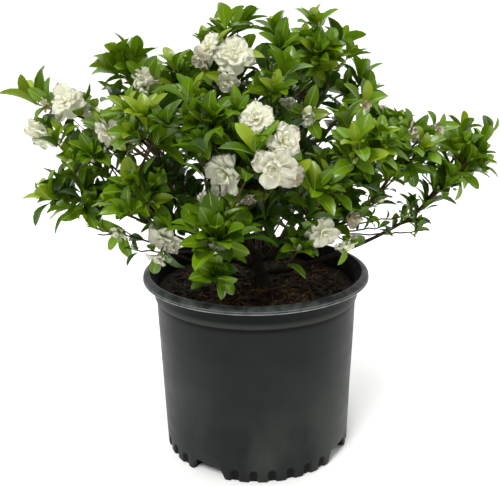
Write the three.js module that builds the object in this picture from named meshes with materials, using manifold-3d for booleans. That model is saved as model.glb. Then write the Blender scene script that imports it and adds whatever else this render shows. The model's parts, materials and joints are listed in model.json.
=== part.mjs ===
// A white azalea shrub in a nursery pot, in millimetres with +Z up.
// The origin is the middle of the pot's flat underside. Headings are in degrees round the pot's axis:
// 0 points right (+X), 90 to the back (+Y), 180 left and -90 to the front.
import * as THREE from "three";
import { mergeVertices } from "three/addons/utils/BufferGeometryUtils.js";
import Module from "manifold-3d";

const wasm = await Module();
wasm.setup();

// ---- Driving dimensions ----

const GAP = 0.35; // clearance between pieces that touch

const POT = {
  height: 231,
  rimRadius: 140,
  rimDepth: 8, // how far the rim's skirt hangs
  lipWidth: 9.5, // the flat top of the rim
  skin: 2, // wall thickness
  topRadius: 125.5, // outside, under the rim
  shoulderDepth: 22, // from the rim's skirt down to the stacking step
  step: 1.4, // how far the wall draws in at the step
  footRadius: 118,
  floor: 4,
  sides: 40,
};
const FLUTES = { perQuarter: 6, pitch: 11, width: 10.4, height: 14, depth: 2.1 };
const POCKETS = { count: 4, heading: -31.5, width: 33, flare: 8, height: 16, depth: 22, slot: [15, 7] };

const MIX = { edge: 209, crown: 216, roughness: 2.2, rings: 2 };

const STEM = { footRadius: 15, neckRadius: 8.5, forkRadius: 10.5, height: 40, seat: 8, lean: [3, -2] };

// Every mass of foliage: its middle (heading, reach from the axis, height above the ground) and its
// half sizes (outwards, sideways, upwards).
const FOLIAGE = {
  far_left: { heading: -178, reach: 240, height: 432, size: [52, 48, 38] },
  upper_left: { heading: 178, reach: 150, height: 480, size: [42, 42, 34] },
  left_low: { heading: -164, reach: 216, height: 340, size: [47, 46, 38] },
  left_mid: { heading: -158, reach: 192, height: 394, size: [44, 42, 32] },
  low_left: { heading: -156, reach: 178, height: 299, size: [38, 26, 17] },
  left_front: { heading: -136, reach: 172, height: 357, size: [44, 42, 36] },
  left_shoulder: { heading: -133, reach: 150, height: 420, size: [44, 48, 34] },
  left_inner: { heading: -154, reach: 92, height: 462, size: [38, 42, 42] },
  top_bloom: { heading: -130, reach: 58, height: 487, size: [38, 42, 28] },
  top: { heading: 165, reach: 22, height: 521, size: [42, 38, 27] },
  top_right: { heading: -20, reach: 34, height: 503, size: [24, 30, 36] },
  crown_right: { heading: -10, reach: 86, height: 492, size: [44, 42, 40] },
  right_shoulder: { heading: 4, reach: 126, height: 447, size: [34, 38, 30] },
  right_outer: { heading: -19, reach: 182, height: 388, size: [42, 44, 38] },
  right_mid: { heading: -47, reach: 162, height: 402, size: [42, 46, 40] },
  far_right: { heading: -1, reach: 246, height: 376, size: [46, 46, 48] },
  right_low: { heading: -6, reach: 192, height: 303, size: [44, 30, 22] },
  centre_right: { heading: -59, reach: 128, height: 354, size: [42, 44, 42] },
  centre_bloom: { heading: -85, reach: 158, height: 405, size: [34, 34, 42] },
  centre_top: { heading: -75, reach: 92, height: 458, size: [34, 38, 32] },
  centre_left: { heading: -108, reach: 140, height: 428, size: [34, 38, 34] },
  front_left: { heading: -106, reach: 152, height: 319, size: [40, 56, 36] },
  front_sprig: { heading: -112, reach: 128, height: 265, size: [22, 38, 20] },
  front_right: { heading: -65, reach: 110, height: 283, size: [30, 36, 32] },
  right_inner: { heading: -24, reach: 138, height: 320, size: [46, 44, 42] },
  centre_low: { heading: -110, reach: 52, height: 345, size: [42, 46, 44] },
  back_right: { heading: 35, reach: 206, height: 378, size: [56, 64, 54] },
  back: { heading: 88, reach: 206, height: 368, size: [54, 72, 56] },
  back_left: { heading: 143, reach: 206, height: 382, size: [56, 66, 54] },
  back_top_right: { heading: 55, reach: 104, height: 448, size: [56, 60, 50] },
  back_top_left: { heading: 125, reach: 106, height: 452, size: [56, 60, 50] },
  back_low: { heading: 62, reach: 158, height: 300, size: [40, 56, 28] },
};

// The boughs. Each ends in the mass that it is named for. from is the bough that it forks from, or
// the stem, and fork is how far along that is; by is a mass that it runs through on its way. rise
// and turn_up are its slopes at the fork and at the tip, and girth is its thickness at the fork.
const BOUGHS = {
  far_left: { fork: 0.85, rise: 42, turn_up: 12, girth: 9 },
  left_low: { fork: 0.5, rise: 24, turn_up: 22, girth: 7.5 },
  low_left: { fork: 0.2, rise: 12, turn_up: 14, girth: 5.5 },
  left_shoulder: { by: "left_front", fork: 0.62, rise: 34, turn_up: 62, girth: 8 },
  left_inner: { fork: 0.95, rise: 66, turn_up: 56, girth: 7.5 },
  top: { by: "top_bloom", fork: 0.97, rise: 82, turn_up: 60, girth: 9 },
  crown_right: { fork: 0.93, rise: 74, turn_up: 52, girth: 9 },
  right_outer: { by: "right_inner", fork: 0.7, rise: 30, turn_up: 42, girth: 9.5 },
  far_right: { by: "right_low", fork: 0.3, rise: 12, turn_up: 48, girth: 9 },
  centre_right: { by: "front_right", fork: 0.35, rise: 22, turn_up: 70, girth: 6.5 },
  centre_bloom: { fork: 0.75, rise: 48, turn_up: 46, girth: 8 },
  centre_left: { by: "centre_low", fork: 0.88, rise: 56, turn_up: 54, girth: 8 },
  front_left: { by: "front_sprig", fork: 0.25, rise: 12, turn_up: 66, girth: 6.5 },
  back_right: { fork: 0.6, rise: 36, turn_up: 26, girth: 9 },
  back: { fork: 0.72, rise: 36, turn_up: 28, girth: 9 },
  back_left: { fork: 0.55, rise: 38, turn_up: 26, girth: 9 },
  back_low: { fork: 0.3, rise: 16, turn_up: 24, girth: 6 },
  upper_left: { from: "far_left", fork: 0.42, rise: 60, turn_up: 66, girth: 6 },
  left_mid: { from: "left_low", fork: 0.45, rise: 40, turn_up: 40, girth: 5 },
  top_right: { from: "crown_right", fork: 0.52, rise: 80, turn_up: 82, girth: 5.5 },
  right_shoulder: { from: "crown_right", fork: 0.4, rise: 46, turn_up: 56, girth: 6 },
  right_mid: { from: "right_outer", fork: 0.45, rise: 50, turn_up: 60, girth: 6.5 },
  centre_top: { from: "centre_bloom", fork: 0.4, rise: 74, turn_up: 76, girth: 5.5 },
  back_top_right: { from: "back_right", fork: 0.35, rise: 70, turn_up: 58, girth: 7 },
  back_top_left: { from: "back_left", fork: 0.35, rise: 70, turn_up: 58, girth: 7 },
};
const LIMB = { tipShare: 0.42, shortOfMiddle: 0.25, sides: 5, stepLength: 42 };
const LUMPS = { count: 7, height: 0.34, sharpness: 5, facets: 2 };

const COLOURS = {
  pot: 0x3a403d,
  mix: 0x241812,
  bark: 0x3b2a1e,
  leaf: 0x4d8a1e,
};

// ---- Small helpers ----

const finish = (color, roughness) => new THREE.MeshStandardMaterial({ color, roughness, metalness: 0 });

const radians = THREE.MathUtils.degToRad;

const outwards = (heading, slope = 0) =>
  new THREE.Vector3(
    Math.cos(radians(heading)) * Math.cos(radians(slope)),
    Math.sin(radians(heading)) * Math.cos(radians(slope)),
    Math.sin(radians(slope)),
  );

function placeOf({ heading, reach, height }) {
  const place = outwards(heading).multiplyScalar(reach);
  place.z = height;
  return place;
}

// A repeatable stream of numbers from 0 to 1, different for every name.
function chance(name) {
  let state = [...name].reduce((sum, letter) => (sum * 31 + letter.charCodeAt(0)) >>> 0, 7);
  return () => {
    state = (state + 0x6d2b79f5) >>> 0;
    let mixed = Math.imul(state ^ (state >>> 15), 1 | state);
    mixed = (mixed + Math.imul(mixed ^ (mixed >>> 7), 61 | mixed)) ^ mixed;
    return ((mixed ^ (mixed >>> 14)) >>> 0) / 2 ** 32;
  };
}

function solidOf(geometry) {
  const bare = new THREE.BufferGeometry();
  const source = geometry.index ? geometry.toNonIndexed() : geometry;
  bare.setAttribute("position", source.getAttribute("position"));
  const merged = mergeVertices(bare, 1e-3);
  const solid = new wasm.Manifold(
    new wasm.Mesh({
      numProp: 3,
      vertProperties: merged.attributes.position.array,
      triVerts: new Uint32Array(merged.index.array),
    }),
  );
  if (solid.volume() < 0) throw new Error("a shape is inside out");
  return solid;
}

function geometryOf(solid) {
  const mesh = solid.getMesh();
  const geometry = new THREE.BufferGeometry();
  geometry.setAttribute("position", new THREE.BufferAttribute(mesh.vertProperties, 3));
  geometry.setIndex(new THREE.BufferAttribute(mesh.triVerts, 1));
  return geometry;
}

// A cut can leave crumbs: the largest piece is the one that counts.
const largestOf = (solid) =>
  solid.decompose().reduce((best, piece) => (piece.volume() > best.volume() ? piece : best));

const overlaps = (a, b) => {
  const [p, q] = [a.boundingBox(), b.boundingBox()];
  return [0, 1, 2].every((axis) => p.min[axis] < q.max[axis] && q.min[axis] < p.max[axis]);
};

const cutBy = (solid, cutters) =>
  largestOf(cutters.filter((cutter) => overlaps(solid, cutter)).reduce((left, cutter) => left.subtract(cutter), solid));

// A closed outline of [radius, height] points, listed upwards on the outside, turned round +Z.
function turned(outline) {
  const points = outline.map(([radius, height]) => new THREE.Vector2(radius, height));
  return new THREE.LatheGeometry(points, POT.sides).rotateX(Math.PI / 2);
}

// ---- Pot ----

const wallTop = POT.height - POT.rimDepth;
const stepHeight = wallTop - POT.shoulderDepth;
const stepRadius = POT.topRadius - POT.step;
const outerRadiusAt = (height) => THREE.MathUtils.mapLinear(height, 0, stepHeight, POT.footRadius, stepRadius);
const lipInner = POT.rimRadius - POT.lipWidth;

const potOutside = () =>
  solidOf(
    turned([
      [0, 0],
      [POT.footRadius, 0],
      [outerRadiusAt(stepHeight - 2), stepHeight - 2],
      [POT.topRadius, stepHeight + 1.5],
      [POT.topRadius, wallTop],
      [POT.topRadius + 3, POT.height - 2 * POT.skin],
      [POT.rimRadius - POT.skin, POT.height - POT.skin],
      [POT.rimRadius - POT.skin, wallTop],
      [POT.rimRadius, wallTop],
      [POT.rimRadius, POT.height - 1.5],
      [POT.rimRadius - 1.5, POT.height],
      [lipInner, POT.height],
      [0, POT.height],
    ]),
  );

// The room inside, drawn in by margin for what fills it.
const potInside = (top, margin = 0) => {
  const wall = POT.skin + margin;
  return [
    [0, POT.floor + margin],
    [outerRadiusAt(POT.floor) - wall - 2, POT.floor + margin],
    [outerRadiusAt(FLUTES.height + 4) - wall - 2, FLUTES.height + 4],
    [outerRadiusAt(FLUTES.height + 8) - wall, FLUTES.height + 8],
    [stepRadius - wall, Math.min(stepHeight, top)],
  ];
};

const potCavity = () =>
  solidOf(
    turned([
      ...potInside(POT.height),
      [POT.topRadius - POT.skin, stepHeight + 4],
      [POT.topRadius - POT.skin, wallTop],
      [lipInner, POT.height],
      [lipInner, POT.height + 10],
      [0, POT.height + 10],
    ]),
  );

// A drain pocket at the foot of the wall, which widens downwards, grown by margin on every side.
function pocket(index, margin = 0) {
  const { width, flare, height, depth, heading, count } = POCKETS;
  const half = width / 2 + margin;
  const opening = new THREE.Shape([
    new THREE.Vector2(-half, height + margin),
    new THREE.Vector2(-half - flare, -1),
    new THREE.Vector2(half + flare, -1),
    new THREE.Vector2(half, height + margin),
  ]);
  const block = new THREE.ExtrudeGeometry(opening, { depth: depth + 20 + margin, bevelEnabled: false });
  block.rotateX(Math.PI / 2).rotateZ(Math.PI / 2);
  block.translate(POT.footRadius - depth - margin, 0, 0);
  return block.rotateZ(radians(heading + (360 / count) * index));
}

function drainSlot(index) {
  const [width, height] = POCKETS.slot;
  const box = new THREE.BoxGeometry(POCKETS.depth, width, height);
  box.translate(POT.footRadius - POCKETS.depth, 0, POCKETS.height - height / 2 - 2);
  return box.rotateZ(radians(POCKETS.heading + (360 / POCKETS.count) * index));
}

function flute(quarter, index) {
  const middle = (FLUTES.perQuarter - 1) / 2;
  const heading = POCKETS.heading + 90 * quarter + 45 + FLUTES.pitch * (index - middle);
  const swell = new THREE.SphereGeometry(1, 8, 6).rotateX(Math.PI / 2);
  swell.scale(FLUTES.width / 2, FLUTES.width / 2, FLUTES.height);
  swell.translate(POT.footRadius + FLUTES.width / 2 - FLUTES.depth, 0, 0);
  return swell.rotateZ(radians(heading));
}

const everyPocket = [...Array(POCKETS.count).keys()];

function potSolid() {
  let shell = potOutside();
  let room = potCavity();
  for (const index of everyPocket) {
    shell = shell.subtract(solidOf(pocket(index)));
    room = room.subtract(solidOf(pocket(index, POT.skin)));
    for (let place = 0; place < FLUTES.perQuarter; place++) {
      shell = shell.subtract(solidOf(flute(index, place)));
    }
  }
  for (const index of everyPocket) room = room.add(solidOf(drainSlot(index)));
  return shell.subtract(room);
}

// ---- Potting mix ----

function mixSolid() {
  const random = chance("mix");
  const wall = POT.topRadius - POT.skin - GAP;
  const top = [...Array(MIX.rings + 1).keys()].map((ring) => {
    const share = ring / MIX.rings;
    return [wall * (1 - share), THREE.MathUtils.lerp(MIX.edge, MIX.crown, share)];
  });
  const body = turned([...potInside(MIX.edge, GAP), [wall, stepHeight + 5], ...top]);
  const position = body.attributes.position;
  const waves = [...Array(6).keys()].map(() => [random() * 0.09 - 0.045, random() * 0.09 - 0.045, random() * 6]);
  for (let i = 0; i < position.count; i++) {
    if (position.getZ(i) < MIX.edge - 1) continue;
    const ripple = waves.reduce(
      (sum, [across, along, phase]) => sum + Math.sin(position.getX(i) * across + position.getY(i) * along + phase),
      0,
    );
    position.setZ(i, position.getZ(i) + (MIX.roughness * ripple) / 3);
  }
  return everyPocket.reduce((mix, index) => mix.subtract(solidOf(pocket(index, POT.skin + GAP))), solidOf(body));
}

// ---- Wood ----

// A limb is a tapering cylinder bent along its path, whose thickness the radius function gives,
// grown by margin all round and at both ends.
function limb(path, radiusAt, sides, steps, margin = 0) {
  const geometry = new THREE.CylinderGeometry(1, 1, 1, sides, steps);
  const frames = path.computeFrenetFrames(steps);
  const position = geometry.attributes.position;
  for (let i = 0; i < position.count; i++) {
    const step = Math.round((position.getY(i) + 0.5) * steps);
    const radius = radiusAt(step / steps) + margin;
    const beyond = step === 0 ? -margin : step === steps ? margin : 0;
    const point = path
      .getPointAt(step / steps)
      .addScaledVector(frames.tangents[step], beyond)
      .addScaledVector(frames.normals[step], position.getX(i) * radius)
      .addScaledVector(frames.binormals[step], -position.getZ(i) * radius);
    position.setXYZ(i, point.x, point.y, point.z);
  }
  return solidOf(geometry);
}

const stemFoot = new THREE.Vector3(0, 0, MIX.crown - STEM.seat);
const stemTop = stemFoot.clone().add(new THREE.Vector3(...STEM.lean, STEM.height + STEM.seat));
const stemPath = new THREE.LineCurve3(stemFoot, stemTop);

function stemRadius(share) {
  const flare = (STEM.footRadius - STEM.neckRadius) * Math.exp(-share * 6);
  return STEM.neckRadius + flare + (STEM.forkRadius - STEM.neckRadius) * share ** 2;
}

const stemSolid = (margin = 0) => limb(stemPath, stemRadius, 12, 6, margin);

const paths = {};

// Where a bough leaves: the stem's surface under its own heading, or the middle of its parent.
function rootOf({ from, fork }, heading) {
  if (from) return paths[from].getPointAt(fork);
  const edge = stemRadius(fork) - 2.5;
  return stemPath.getPointAt(fork).add(outwards(heading).multiplyScalar(edge));
}

function pathOf(name) {
  const bough = BOUGHS[name];
  const goal = placeOf(FOLIAGE[name]);
  const first = bough.by ? placeOf(FOLIAGE[bough.by]) : goal;
  const centre = bough.from ? paths[bough.from].getPointAt(bough.fork) : stemTop;
  const heading = THREE.MathUtils.radToDeg(Math.atan2(first.y - centre.y, first.x - centre.x));
  const root = rootOf(bough, heading);
  const arriving = THREE.MathUtils.radToDeg(Math.atan2(goal.y - root.y, goal.x - root.x));
  const last = outwards(arriving, bough.turn_up);
  const tip = goal.clone().addScaledVector(last, -LIMB.shortOfMiddle * FOLIAGE[name].size[2]);
  const length = root.distanceTo(tip);
  const leave = root.clone().addScaledVector(outwards(heading, bough.rise), length * 0.36);
  const arrive = tip.clone().addScaledVector(last, -length * 0.3);
  if (!bough.by) return new THREE.CubicBezierCurve3(root, leave, arrive, tip);
  return new THREE.CatmullRomCurve3([root, root.clone().lerp(leave, 0.45), first, tip], false, "centripetal");
}

function boughSolid(name, margin = 0) {
  const { girth } = BOUGHS[name];
  const path = paths[name];
  const steps = Math.max(4, Math.round(path.getLength() / LIMB.stepLength));
  const radiusAt = (share) => (girth / 2) * (1 - (1 - LIMB.tipShare) * share ** 0.8);
  return limb(path, radiusAt, LIMB.sides, steps, margin);
}

// ---- Foliage ----

function anyDirection(random) {
  const direction = new THREE.Vector3();
  do direction.set(random() * 2 - 1, random() * 2 - 1, random() * 2 - 1);
  while (direction.lengthSq() > 1 || direction.lengthSq() < 0.1);
  return direction.normalize();
}

// One closed, lumpy mass, exactly as large as its named half sizes and turned to its heading. Its
// surface stands out where shoots end and falls back between them.
function foliageSolid(name, margin = 0) {
  const { heading, size } = FOLIAGE[name];
  const random = chance(name);
  const shoots = [...Array(LUMPS.count).keys()].map(() => anyDirection(random));
  const geometry = new THREE.OctahedronGeometry(1, LUMPS.facets);
  const position = geometry.attributes.position;
  const point = new THREE.Vector3();
  for (let i = 0; i < position.count; i++) {
    point.fromBufferAttribute(position, i);
    const swell = shoots.reduce((sum, shoot) => sum + Math.exp(LUMPS.sharpness * (point.dot(shoot) - 1)), 0);
    point.multiplyScalar(1 - LUMPS.height + LUMPS.height * Math.min(1, swell));
    position.setXYZ(i, point.x, point.y, point.z);
  }
  geometry.center();
  const [across, along, up] = geometry.boundingBox.getSize(new THREE.Vector3()).toArray();
  const [outward, sideways, upward] = size.map((half) => 2 * (half + margin));
  geometry.scale(outward / across, sideways / along, upward / up);
  geometry.rotateZ(radians(heading));
  return solidOf(geometry.translate(...placeOf(FOLIAGE[name])));
}

// ---- Assembly ----

const parts = new THREE.Group();

function add(name, solid, material) {
  const mesh = new THREE.Mesh(geometryOf(solid), material);
  mesh.name = name;
  parts.add(mesh);
}

add("nursery_pot", potSolid(), finish(COLOURS.pot, 0.5));
add("potting_mix", cutBy(mixSolid(), [stemSolid(GAP)]), finish(COLOURS.mix, 0.95));
add("stem", stemSolid(), finish(COLOURS.bark, 0.85));

const wood = [stemSolid(GAP)];
for (const name of Object.keys(BOUGHS)) {
  paths[name] = pathOf(name);
  add(`bough_${name}`, cutBy(boughSolid(name), wood), finish(COLOURS.bark, 0.85));
  wood.push(boughSolid(name, GAP));
}

const leaves = [];
for (const name of Object.keys(FOLIAGE)) {
  add(`foliage_${name}`, cutBy(foliageSolid(name), [...wood, ...leaves]), finish(COLOURS.leaf, 0.6));
  leaves.push(foliageSolid(name, GAP));
}

export default parts;
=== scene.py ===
"""A white-flowered evergreen azalea in its nursery can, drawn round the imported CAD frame.

The file is laid out as an add-on and run as a script. The can, the potting mix, the wood, the leaves and
the blossom each have their own operator. The shrub is grown: shoots are scattered just inside the CAD
masses and joined, nearest first, to the boughs by a seeded branching rule. Lengths in the growing code are
millimetres, and the settings are metres.
"""

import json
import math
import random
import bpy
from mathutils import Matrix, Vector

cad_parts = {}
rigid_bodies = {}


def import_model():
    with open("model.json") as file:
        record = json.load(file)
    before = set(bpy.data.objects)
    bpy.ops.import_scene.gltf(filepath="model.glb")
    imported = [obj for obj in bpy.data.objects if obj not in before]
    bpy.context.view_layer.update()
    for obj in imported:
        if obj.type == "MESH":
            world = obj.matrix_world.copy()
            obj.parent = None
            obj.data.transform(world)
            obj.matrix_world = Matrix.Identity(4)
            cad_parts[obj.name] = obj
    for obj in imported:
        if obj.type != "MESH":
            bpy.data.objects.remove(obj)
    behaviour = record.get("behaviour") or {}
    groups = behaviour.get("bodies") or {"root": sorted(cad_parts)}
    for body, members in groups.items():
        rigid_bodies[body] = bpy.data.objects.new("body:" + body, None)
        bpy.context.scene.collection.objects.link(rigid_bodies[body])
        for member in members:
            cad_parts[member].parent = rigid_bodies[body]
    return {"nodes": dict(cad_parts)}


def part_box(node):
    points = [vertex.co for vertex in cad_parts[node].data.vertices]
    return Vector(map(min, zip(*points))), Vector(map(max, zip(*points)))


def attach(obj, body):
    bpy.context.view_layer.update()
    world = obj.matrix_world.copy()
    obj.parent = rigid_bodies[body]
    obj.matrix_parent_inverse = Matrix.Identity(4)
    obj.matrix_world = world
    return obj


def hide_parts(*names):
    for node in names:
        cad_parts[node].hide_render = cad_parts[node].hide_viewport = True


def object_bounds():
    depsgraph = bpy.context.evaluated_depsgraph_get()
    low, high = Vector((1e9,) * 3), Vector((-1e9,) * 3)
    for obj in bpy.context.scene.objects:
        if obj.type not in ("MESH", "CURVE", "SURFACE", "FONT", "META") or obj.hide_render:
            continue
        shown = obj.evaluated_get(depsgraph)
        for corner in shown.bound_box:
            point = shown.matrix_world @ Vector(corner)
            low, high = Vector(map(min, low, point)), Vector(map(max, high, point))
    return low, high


bl_info = {
    "name": "Azalea in a Nursery Can",
    "version": (1, 0, 0),
    "blender": (4, 5, 0),
    "location": "3D View > Sidebar > Azalea",
    "description": "Grows a flowering azalea on its CAD boughs and moulds its can",
    "category": "Object",
}

from dataclasses import dataclass
from functools import lru_cache

import bpy
import numpy as np
from bpy.props import FloatProperty, FloatVectorProperty, IntProperty, PointerProperty
from bpy.types import Operator, Panel, PropertyGroup
from mathutils import Matrix, Vector, noise
from mathutils.bvhtree import BVHTree

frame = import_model()
CAD_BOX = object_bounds()

MM = 0.001
GOLDEN = math.radians(137.5)
CAN_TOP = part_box("nursery_pot")[1][2] / MM
RIM_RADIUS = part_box("nursery_pot")[1][0] / MM
MIX_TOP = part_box("potting_mix")[1][2] / MM

# The kinds of node that the trees use most.
MATH, VECTOR, RANGE, MIX = "ShaderNodeMath", "ShaderNodeVectorMath", "ShaderNodeMapRange", "ShaderNodeMix"
RAMP, BUMP, NOISE = "ShaderNodeValToRGB", "ShaderNodeBump", "ShaderNodeTexNoise"
JOIN, SPLIT = "ShaderNodeCombineXYZ", "ShaderNodeSeparateXYZ"
COORDINATES, ATTRIBUTE = "ShaderNodeTexCoord", "ShaderNodeAttribute"
TOLD, TELL = "GeometryNodeInputNamedAttribute", "GeometryNodeStoreNamedAttribute"


# ---------------------------------------------------------------- small helpers


def linear(paint):
    """The linear colour of an sRGB hex value."""
    shares = [int(paint[i : i + 2], 16) / 255 for i in (1, 3, 5)]
    return [s / 12.92 if s <= 0.04045 else ((s + 0.055) / 1.055) ** 2.4 for s in shares]


def wire(tree, node, links):
    """Joins or sets a node's inputs. A source node gives its first output in use; colours may lack alpha."""
    for key, source in links.items():
        socket = node.inputs[key]
        if isinstance(source, bpy.types.Node):
            source = next(output for output in source.outputs if output.enabled)
        if isinstance(source, bpy.types.NodeSocket):
            tree.links.new(source, socket)
        elif socket.type == "RGBA":
            socket.default_value = (*source, 1)[:4]
        else:
            socket.default_value = source


def add(tree, kind, *inputs, stops=(), **settings):
    """Adds a node with its settings, its inputs in order or in a dictionary, and its colour ramp's stops."""
    node = tree.nodes.new(kind)
    for name, value in settings.items():
        setattr(node, name, value)
    for number, (place, colour) in enumerate(stops):
        element = node.color_ramp.elements[number] if number < 2 else node.color_ramp.elements.new(place)
        element.position = place
        element.color = (*colour, 1)
    for number, source in enumerate(inputs):
        wire(tree, node, source if isinstance(source, dict) else {number: source})
    return node


def new_tree(name, **sizes):
    """An empty Geometry Nodes tree with a named input for each size, and its input and output nodes."""
    tree = bpy.data.node_groups.new(name, "GeometryNodeTree")
    tree.interface.new_socket("Geometry", in_out="INPUT", socket_type="NodeSocketGeometry")
    tree.interface.new_socket("Geometry", in_out="OUTPUT", socket_type="NodeSocketGeometry")
    kinds = {int: "NodeSocketInt", float: "NodeSocketFloat", bpy.types.Material: "NodeSocketMaterial"}
    kinds[bpy.types.Collection] = "NodeSocketCollection"
    for label, value in sizes.items():
        socket = tree.interface.new_socket(label, in_out="INPUT", socket_type=kinds[type(value)])
        socket.default_value = value
    return tree, add(tree, "NodeGroupInput"), add(tree, "NodeGroupOutput")


def run_tree(piece, tree, **sizes):
    """Runs a tree on a piece with these sizes and leaves the result as its plain mesh."""
    modifier = piece.modifiers.new(tree.name, "NODES")
    modifier.node_group = tree
    for item in tree.interface.items_tree:
        if item.in_out == "INPUT" and item.name in sizes:
            modifier[item.identifier] = sizes[item.name]
    raw = piece.data
    evaluated = piece.evaluated_get(bpy.context.evaluated_depsgraph_get())
    piece.data = bpy.data.meshes.new_from_object(evaluated)
    piece.data.name = piece.name
    piece.modifiers.clear()
    bpy.data.meshes.remove(raw)
    while piece.data.materials and piece.data.materials[0] is None:
        piece.data.materials.pop(index=0)
    return piece


def mesh_object(name, points, faces=(), edges=(), **attributes):
    """A mesh object at the origin from points in millimetres, with attributes that number its points, or
    mark its faces where they are true or false.
    """
    mesh = bpy.data.meshes.new(name)
    mesh.from_pydata(np.asarray(points, float) * MM, list(edges), list(faces))
    for label, values in attributes.items():
        values = np.asarray(values)
        marks, rows = values.dtype.kind == "b", values.ndim > 1
        kind = "FLOAT_VECTOR" if rows else {"b": "BOOLEAN", "i": "INT", "f": "FLOAT"}[values.dtype.kind]
        column = mesh.attributes.new(label, kind, "FACE" if marks else "POINT")
        column.data.foreach_set("vector" if rows else "value", values.ravel())
    piece = bpy.data.objects.new(name, mesh)
    bpy.context.scene.collection.objects.link(piece)
    return piece


def grid_faces(rows, columns, closed=False):
    """The quads of a grid of points, row by row, closed round each row if asked."""
    faces = []
    for row in range(0, (rows - 1) * columns, columns):
        for here in range(columns if closed else columns - 1):
            there = (here + 1) % columns
            faces.append((row + here, row + there, row + columns + there, row + columns + here))
    return faces


def placed(piece, slot, *nodes):
    """Sets a finished piece in the frame: its body and the CAD nodes that it stands for. The slot is not
    used.
    """
    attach(piece, "root")
    if nodes:
        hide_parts(*nodes)


def unit(vector):
    vector = np.asarray(vector, float)
    return vector / np.linalg.norm(vector, axis=-1, keepdims=True)


def mixed(low, high, share):
    return low + (high - low) * share


def polar(heading, reach, height):
    """A point from its heading in degrees about the can's axis, its distance from it, and its height."""
    turn = math.radians(heading)
    return np.array([reach * math.cos(turn), reach * math.sin(turn), height])


def facing(heading, rise):
    """The unit direction of a heading and a rise above the level, both in degrees."""
    level = math.cos(math.radians(rise))
    return polar(heading, level, math.sin(math.radians(rise)))


def across(axis):
    """Two unit directions square to an axis and to each other."""
    axis = Vector(axis)
    side = axis.orthogonal().normalized()
    return np.array(side), np.array(axis.cross(side))


def outward_from(axis, turn):
    """The direction square to an axis at this turn round it."""
    side, other = across(axis)
    return math.cos(turn) * side + math.sin(turn) * other


def leaning(axis, outward, lean):
    """The length and the upper side of a leaf or petal that leans outwards from an axis."""
    cosine, sine = math.cos(lean), math.sin(lean)
    return axis * cosine + outward * sine, axis * sine - outward * cosine


# ---------------------------------------------------------------- materials


def new_material(name, **shader):
    """A material, its tree and its Principled shader, with values set on the shader's own sockets."""
    material = bpy.data.materials.new(name)
    material.use_nodes = True
    surface = material.node_tree.nodes["Principled BSDF"]
    for socket, value in shader.items():
        surface.inputs[socket.replace("_", " ")].default_value = value
    return material, material.node_tree, surface


def patches(tree, size, detail=4.0, stretch=(1, 1, 1), source="Object"):
    """A noise pattern whose patches are this many metres across, closer together along an axis by stretch."""
    place = add(tree, COORDINATES).outputs[source]
    scaled = add(tree, "ShaderNodeMapping", {"Vector": place, "Scale": stretch})
    return add(tree, NOISE, {"Vector": scaled, "Scale": 1 / size, "Detail": detail})


def lit_through(tree, surface, colour, share):
    """Lets this share of the light through a thin sheet, in its own colour."""
    glow = add(tree, "ShaderNodeBsdfTranslucent", {"Color": colour})
    both = add(tree, "ShaderNodeMixShader", share, surface, glow)
    wire(tree, tree.nodes["Material Output"], {"Surface": both})


# Where the can's wall changes its looks: heights and radii in metres.
DUST_HEIGHTS = (0.16, 0.01)  # the dust thickens from the first down to the second
SHOULDER_HEIGHTS = (0.185, 0.197, 0.201)  # painted shade on the upper wall: a third of it from the first height to the second, most of it from the third up under the lip
STEP_HEIGHTS = (0.19, 0.208)  # the groove under the shoulder and the bead over it lie between them
LIP_RADII = (0.1275, 0.129)
LIP_EDGE_RADII = (0.13955, 0.13995)


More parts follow.
